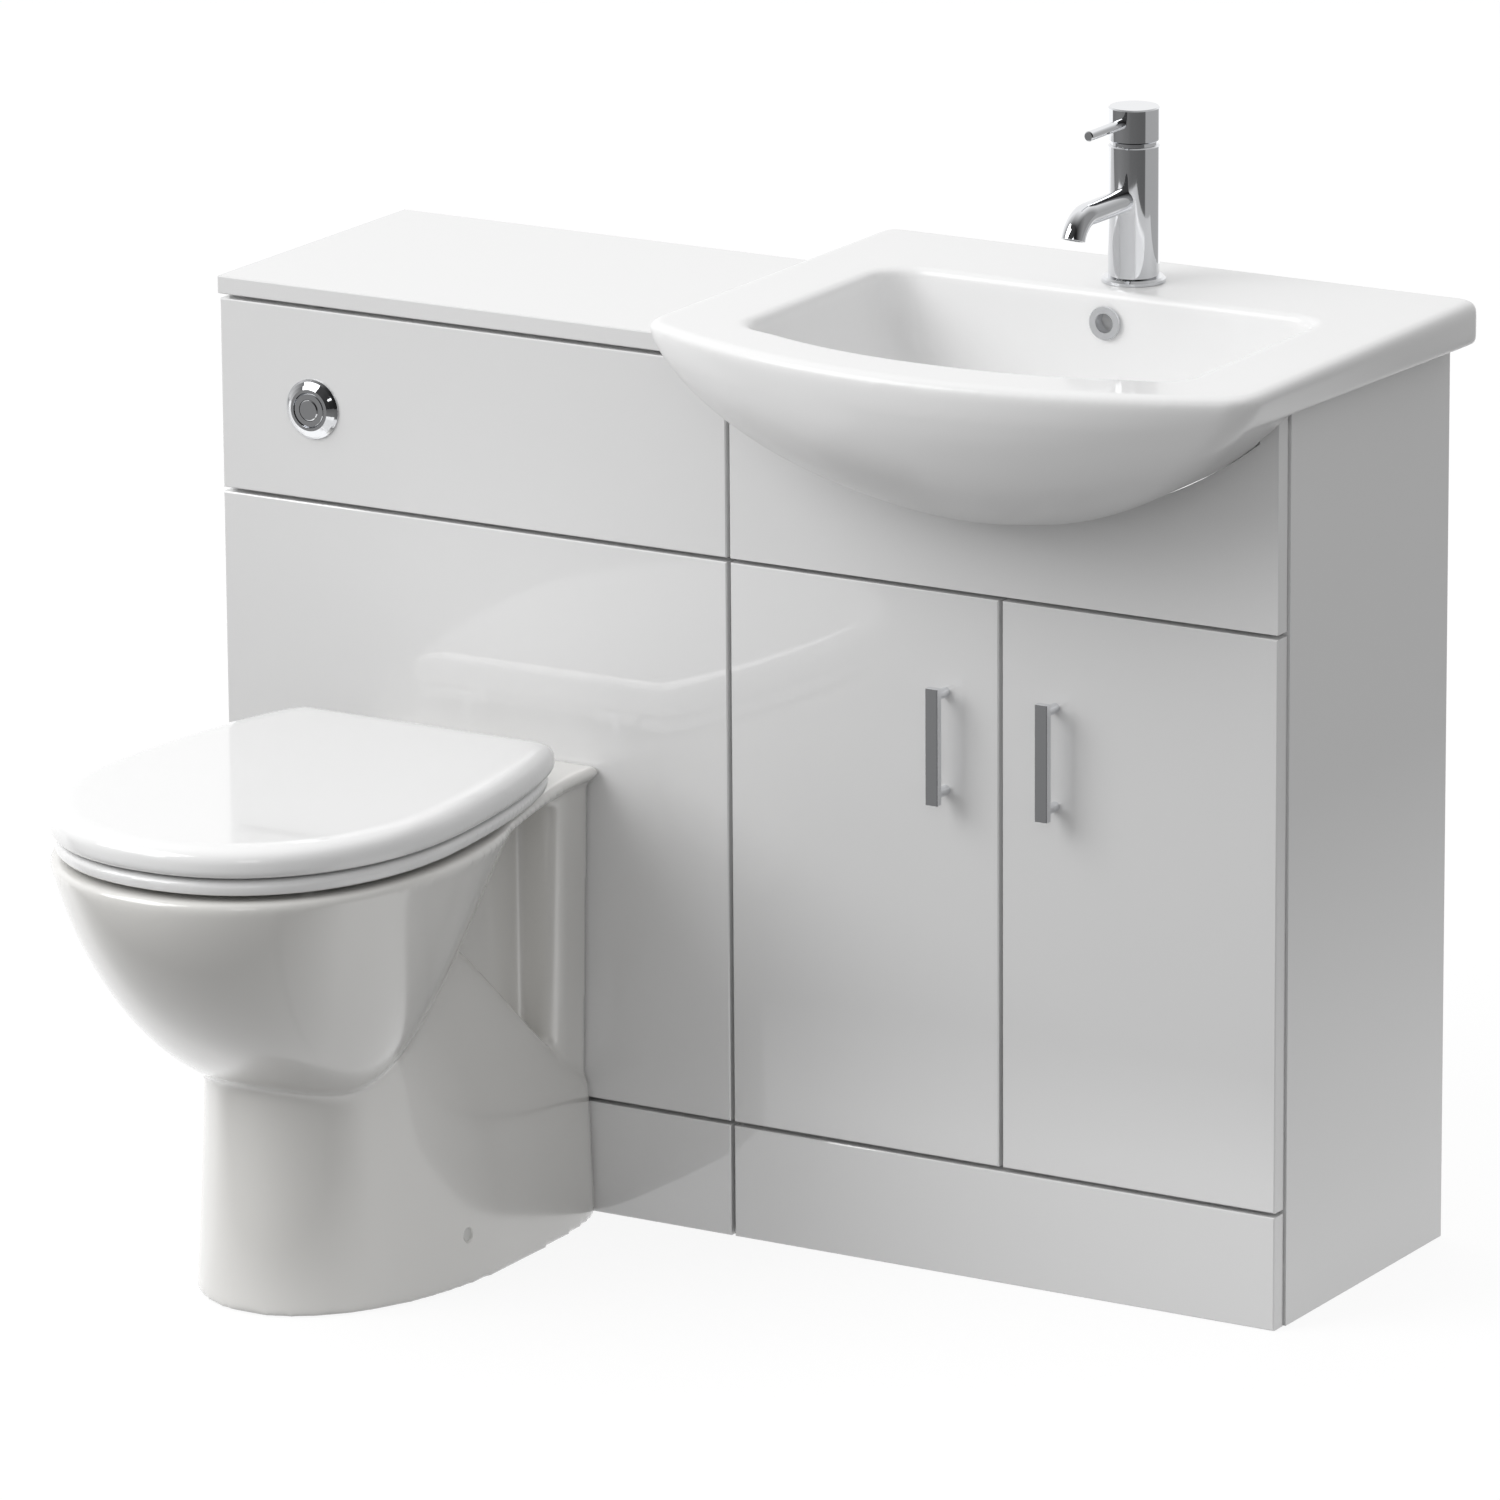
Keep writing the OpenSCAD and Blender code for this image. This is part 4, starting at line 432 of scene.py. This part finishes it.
def basin_piece():
    rings = []
    for i in range(5):
        t = math.radians(22.5 * i)
        rings.append(rim_ring(RIM_EDGE_R * (1 - math.sin(t)),
                              BASIN_Z + RIM_EDGE_R * (1 - math.cos(t))))
    rings += [rim_ring(0, BASIN_Z + RIM_EDGE_R + 4 * i) for i in range(1, 6)]
    for i in range(9):
        t = math.radians(11.25 * i)
        rings.append(rim_ring(RIM_LIP_R * (1 - math.cos(t)),
                              RIM_TOP - RIM_LIP_R * (1 - math.sin(t))))
    rim = skin("basin_glazed", rings)

    front, rear = belly("front"), belly("rear")
    combine(front, "INTERSECT", [
        block("before", (-100, -NOSE_Y - 10, 676), (633, FACE_Y - 1.5, RIM_TOP))])
    combine(rear, "INTERSECT", [
        block("behind", (PASSAGE_X[0], -NOSE_Y, 667), (PASSAGE_X[1], -94, RIM_TOP))])
    boss = tube("boss", (BASIN_CX, -WASTE_Y, 673), (BASIN_CX, -WASTE_Y, 693), 37)
    combine(rim, "UNION", [front, rear, boss])

    walls = []
    for i in range(25):
        u = i / 24
        f = factor(1 - u, 2.6, 2.2)
        walls.append(lift(bowl_outline(0.2 + 0.8 * f, 0.42 + 0.58 * f), BASIN_CX, 0,
                          RIM_TOP - BOWL_DEPTH + (BOWL_DEPTH - BOWL_LIP) * u))
    for i in range(1, 9):
        t = math.radians(11.25 * i)
        g = BOWL_LIP * (1 - math.cos(t))
        walls.append(lift(bowl_outline(1 + g / BOWL_HALF, 1 + g / 150), BASIN_CX, 0,
                          RIM_TOP - BOWL_LIP * (1 - math.sin(t))))
    flare = 1.6 * BOWL_LIP
    walls.append(lift(bowl_outline(1 + flare / BOWL_HALF, 1 + flare / 150),
                      BASIN_CX, 0, RIM_TOP + 1))
    combine(rim, "DIFFERENCE", [skin("bowl", walls)])
    soften(rim, CERAMIC_GRAIN, 14)
    combine(rim, "DIFFERENCE", [
        tube("waste", (BASIN_CX, -WASTE_Y, 667), (BASIN_CX, -WASTE_Y, 727), 22.5),
        tube("tap", (BASIN_CX, -TAP_Y, 796), (BASIN_CX, -TAP_Y, 836), 17.5),
        tube("pocket", (BASIN_CX, -TAP_Y, 790), (BASIN_CX, -TAP_Y, 821), 30),
        tube("overflow", (BASIN_CX, -168, 808), (BASIN_CX, -116, 808), 11)])
    shade(rim)
    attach(rim, "frame")
    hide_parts("basin")
    return rim


# ---------- materials ----------

def material(name, color, rough, metal=0.0, coat=0.0, grain=0.0, scale=40.0, bump=0.0,
             bump_scale=120.0, spread=0.03, coat_ior=1.5, coat_rough=0.04):
    """A surface whose tone and gloss vary a little, with a fine relief."""
    m = bpy.data.materials.new(name)
    m.use_nodes = True
    n, l = m.node_tree.nodes, m.node_tree.links
    s = n["Principled BSDF"]
    s.inputs["Metallic"].default_value = metal
    s.inputs["Coat IOR"].default_value = coat_ior
    s.inputs["Coat Weight"].default_value = coat
    s.inputs["Coat Roughness"].default_value = coat_rough
    where = n.new("ShaderNodeTexCoord")
    noise = n.new("ShaderNodeTexNoise")
    noise.inputs["Scale"].default_value = scale
    noise.inputs["Detail"].default_value = 3.0
    l.new(where.outputs["Object"], noise.inputs["Vector"])
    tone = n.new("ShaderNodeMapRange")
    tone.inputs["To Min"].default_value = max(0.01, rough - spread)
    tone.inputs["To Max"].default_value = rough + spread
    l.new(noise.outputs["Fac"], tone.inputs["Value"])
    l.new(tone.outputs["Result"], s.inputs["Roughness"])
    ramp = n.new("ShaderNodeValToRGB")
    for k, e in enumerate(ramp.color_ramp.elements):
        g = 1 - grain if k == 0 else 1.0
        e.color = (color[0] * g, color[1] * g, color[2] * g, 1)
    l.new(noise.outputs["Fac"], ramp.inputs["Fac"])
    l.new(ramp.outputs["Color"], s.inputs["Base Color"])
    if bump:
        fine = n.new("ShaderNodeTexNoise")
        fine.inputs["Scale"].default_value = bump_scale
        fine.inputs["Detail"].default_value = 2.0
        l.new(where.outputs["Object"], fine.inputs["Vector"])
        relief = n.new("ShaderNodeBump")
        relief.inputs["Strength"].default_value = bump
        relief.inputs["Distance"].default_value = 0.0004
        l.new(fine.outputs["Fac"], relief.inputs["Height"])
        l.new(relief.outputs["Normal"], s.inputs["Normal"])
    return m


LOOKS = {
    "white_board": material("gloss_board", (.80, .80, .80), .3, coat=1.0, grain=.012, scale=6,
                            bump=.02, bump_scale=260, coat_ior=1.8),
    "glazed_white": material("glaze", (.80, .79, .765), .25, coat=1.0, grain=.01, scale=5,
                             bump=.02, bump_scale=18, coat_ior=1.8, coat_rough=.12),
    "basin": material("satin_glaze", (.86, .86, .86), .34, coat=.3, grain=.008, scale=5,
                      bump=.02, bump_scale=18),
    "seat_white": material("seat_plastic", (.88, .88, .88), .10, coat=.6, grain=.008, scale=8),
    "chrome": material("chrome", (.82, .83, .85), .05, metal=1, grain=.02, scale=30, spread=.02),
    "zinc_steel": material("zinc", (.60, .61, .63), .32, metal=1, grain=.12, scale=70, bump=.05,
                           spread=.08),
    "brass": material("brass", (.72, .55, .27), .30, metal=1, grain=.1, scale=60, bump=.05),
    "white_plastic": material("white_plastic", (.80, .80, .78), .38, grain=.03, scale=50,
                              bump=.05),
    "blue_plastic": material("blue_plastic", (.42, .58, .72), .40, grain=.04, scale=50,
                             bump=.05),
    "grey_plastic": material("grey_plastic", (.22, .23, .25), .42, grain=.05, scale=60, bump=.05),
    "black_rubber": material("rubber", (.03, .03, .03), .62, grain=.2, scale=90, bump=.12),
    "soft_buffer": material("soft_buffer", (.76, .76, .74), .5, grain=.04, scale=80, bump=.05),
}

def finish_with(obj, look):
    obj.data.materials.clear()
    obj.data.materials.append(LOOKS[look])


made = [pan_piece(), ring_piece(), lid_piece(), basin_piece()]
for o, look in zip(made, ("glazed_white", "seat_white", "seat_white", "basin")):
    finish_with(o, look)

replaced = {"pan", "seat_ring", "seat_lid", "basin", "vanity_fascia"}
kept = {name: o for name, o in nodes.items() if name not in replaced}
kept["vanity_fascia"] = fascia_piece()
for name, o in kept.items():
    finish_with(o, slots[name])
    shade(o)
    m = o.modifiers.new("edges", "BEVEL")
    m.width, m.segments = (0.0006, 3) if slots[name] == "white_board" else (0.0003, 2)
    m.limit_method, m.angle_limit, m.harden_normals = "ANGLE", math.radians(35), True


# ---------- floor, light and camera ----------

FLOOR_HALF = 9
floor_mesh = bpy.data.meshes.new("floor")
floor_mesh.from_pydata([(x * FLOOR_HALF, y * FLOOR_HALF, 0)
                        for x, y in ((-1, -1), (1, -1), (1, 1), (-1, 1))], [], [(0, 1, 2, 3)])
floor = bpy.data.objects.new("floor", floor_mesh)
floor.location.z = -0.0005
scene.collection.objects.link(floor)
floor_look = bpy.data.materials.new("floor")
floor_look.use_nodes = True
plain = floor_look.node_tree.nodes["Principled BSDF"]
plain.inputs["Base Color"].default_value = (.12, .12, .12, 1)
plain.inputs["Roughness"].default_value = .9
plain.inputs["Emission Color"].default_value = (1, 1, 1, 1)
floor_mesh.materials.append(floor_look)

world = bpy.data.worlds.new("studio")
scene.world = world
world.use_nodes = True
sky = world.node_tree.nodes["Background"]
sky.inputs["Color"].default_value = (1, 1, 1, 1)


def backdrop(tree, coordinate, target, level, y_span, x_span, dark, side, left, right):
    """As white as level for what looks at it straight or through glass. Mirrors see it white
    behind and left of the object, and dark before and right of it: y_span and x_span are where
    that changes, dark and side how bright it then is. As light on the object it is left at its
    left end and right at its right end."""
    n, l = tree.nodes, tree.links
    path, where, split = (n.new("ShaderNode" + k)
                          for k in ("LightPath", "TexCoord", "SeparateXYZ"))
    l.new(where.outputs[coordinate], split.inputs[0])

    def ramp(axis, span, low, high):
        r = n.new("ShaderNodeMapRange")
        for k, v in zip(("From Min", "From Max", "To Min", "To Max"), (*span, low, high)):
            r.inputs[k].default_value = v
        l.new(split.outputs[axis], r.inputs["Value"])
        return r.outputs["Result"]

    def maths(kind, a, b):
        m = n.new("ShaderNodeMath")
        m.operation = kind
        for socket, v in zip(m.inputs, (a, b)):
            if isinstance(v, float):
                socket.default_value = v
            else:
                l.new(v, socket)
        return m.outputs[0]

    mirror = maths("MULTIPLY", ramp("Y", y_span, dark, 1.0), ramp("X", x_span, 1.0, side))
    mirror = maths("MULTIPLY", mirror, path.outputs["Is Glossy Ray"])
    diffuse = maths("MULTIPLY", path.outputs["Is Diffuse Ray"], ramp("X", (-1, 1), left, right))
    seen = maths("MAXIMUM", path.outputs["Is Camera Ray"], path.outputs["Is Transmission Ray"])
    seen = maths("MULTIPLY", seen, level)
    l.new(maths("MAXIMUM", maths("MAXIMUM", seen, mirror), diffuse), target)


backdrop(floor_look.node_tree, "Object", plain.inputs["Emission Strength"], level=0.88,
         y_span=(-.95, -.65), x_span=(.6, 1.3), dark=.03, side=.3, left=.1, right=.1)
backdrop(world.node_tree, "Generated", sky.inputs["Strength"], level=1.0,
         y_span=(-.5, .3), x_span=(.1, .6), dark=.06, side=.3, left=.95, right=.56)


def lamp(name, place, aim, size, power):
    """A square soft box at place that faces aim."""
    data = bpy.data.lights.new(name, "AREA")
    data.shape, data.size, data.energy = "SQUARE", size, power
    o = bpy.data.objects.new(name, data)
    o.location = place
    o.rotation_euler = (Vector(aim) - Vector(place)).to_track_quat("-Z", "Y").to_euler()
    scene.collection.objects.link(o)


lamp("key", (-2.6, -3.2, 3.4), (0, -.3, .4), size=3.2, power=118)
lamp("front", (2.4, -4.6, 2.8), (.2, -.2, .6), size=1.3, power=9)

# The camera stands and looks as the photograph fits best without a shift.
cam_data = bpy.data.cameras.new("camera")
cam_data.lens, cam_data.sensor_width = 264.43, 36
cam = bpy.data.objects.new("camera", cam_data)
yaw, pitch, roll = map(math.radians, (30.881, 15.372, 0.390))
cam.location = (4.6873, -8.1067, 2.9395)
cam.rotation_euler = (Euler((math.pi / 2 - pitch, 0, yaw)).to_matrix()
                      @ Euler((0, 0, -roll)).to_matrix()).to_euler()
cam_data.clip_start, cam_data.clip_end = 0.1, 60
scene.collection.objects.link(cam)
scene.camera = cam
scene.view_settings.view_transform = "Standard"
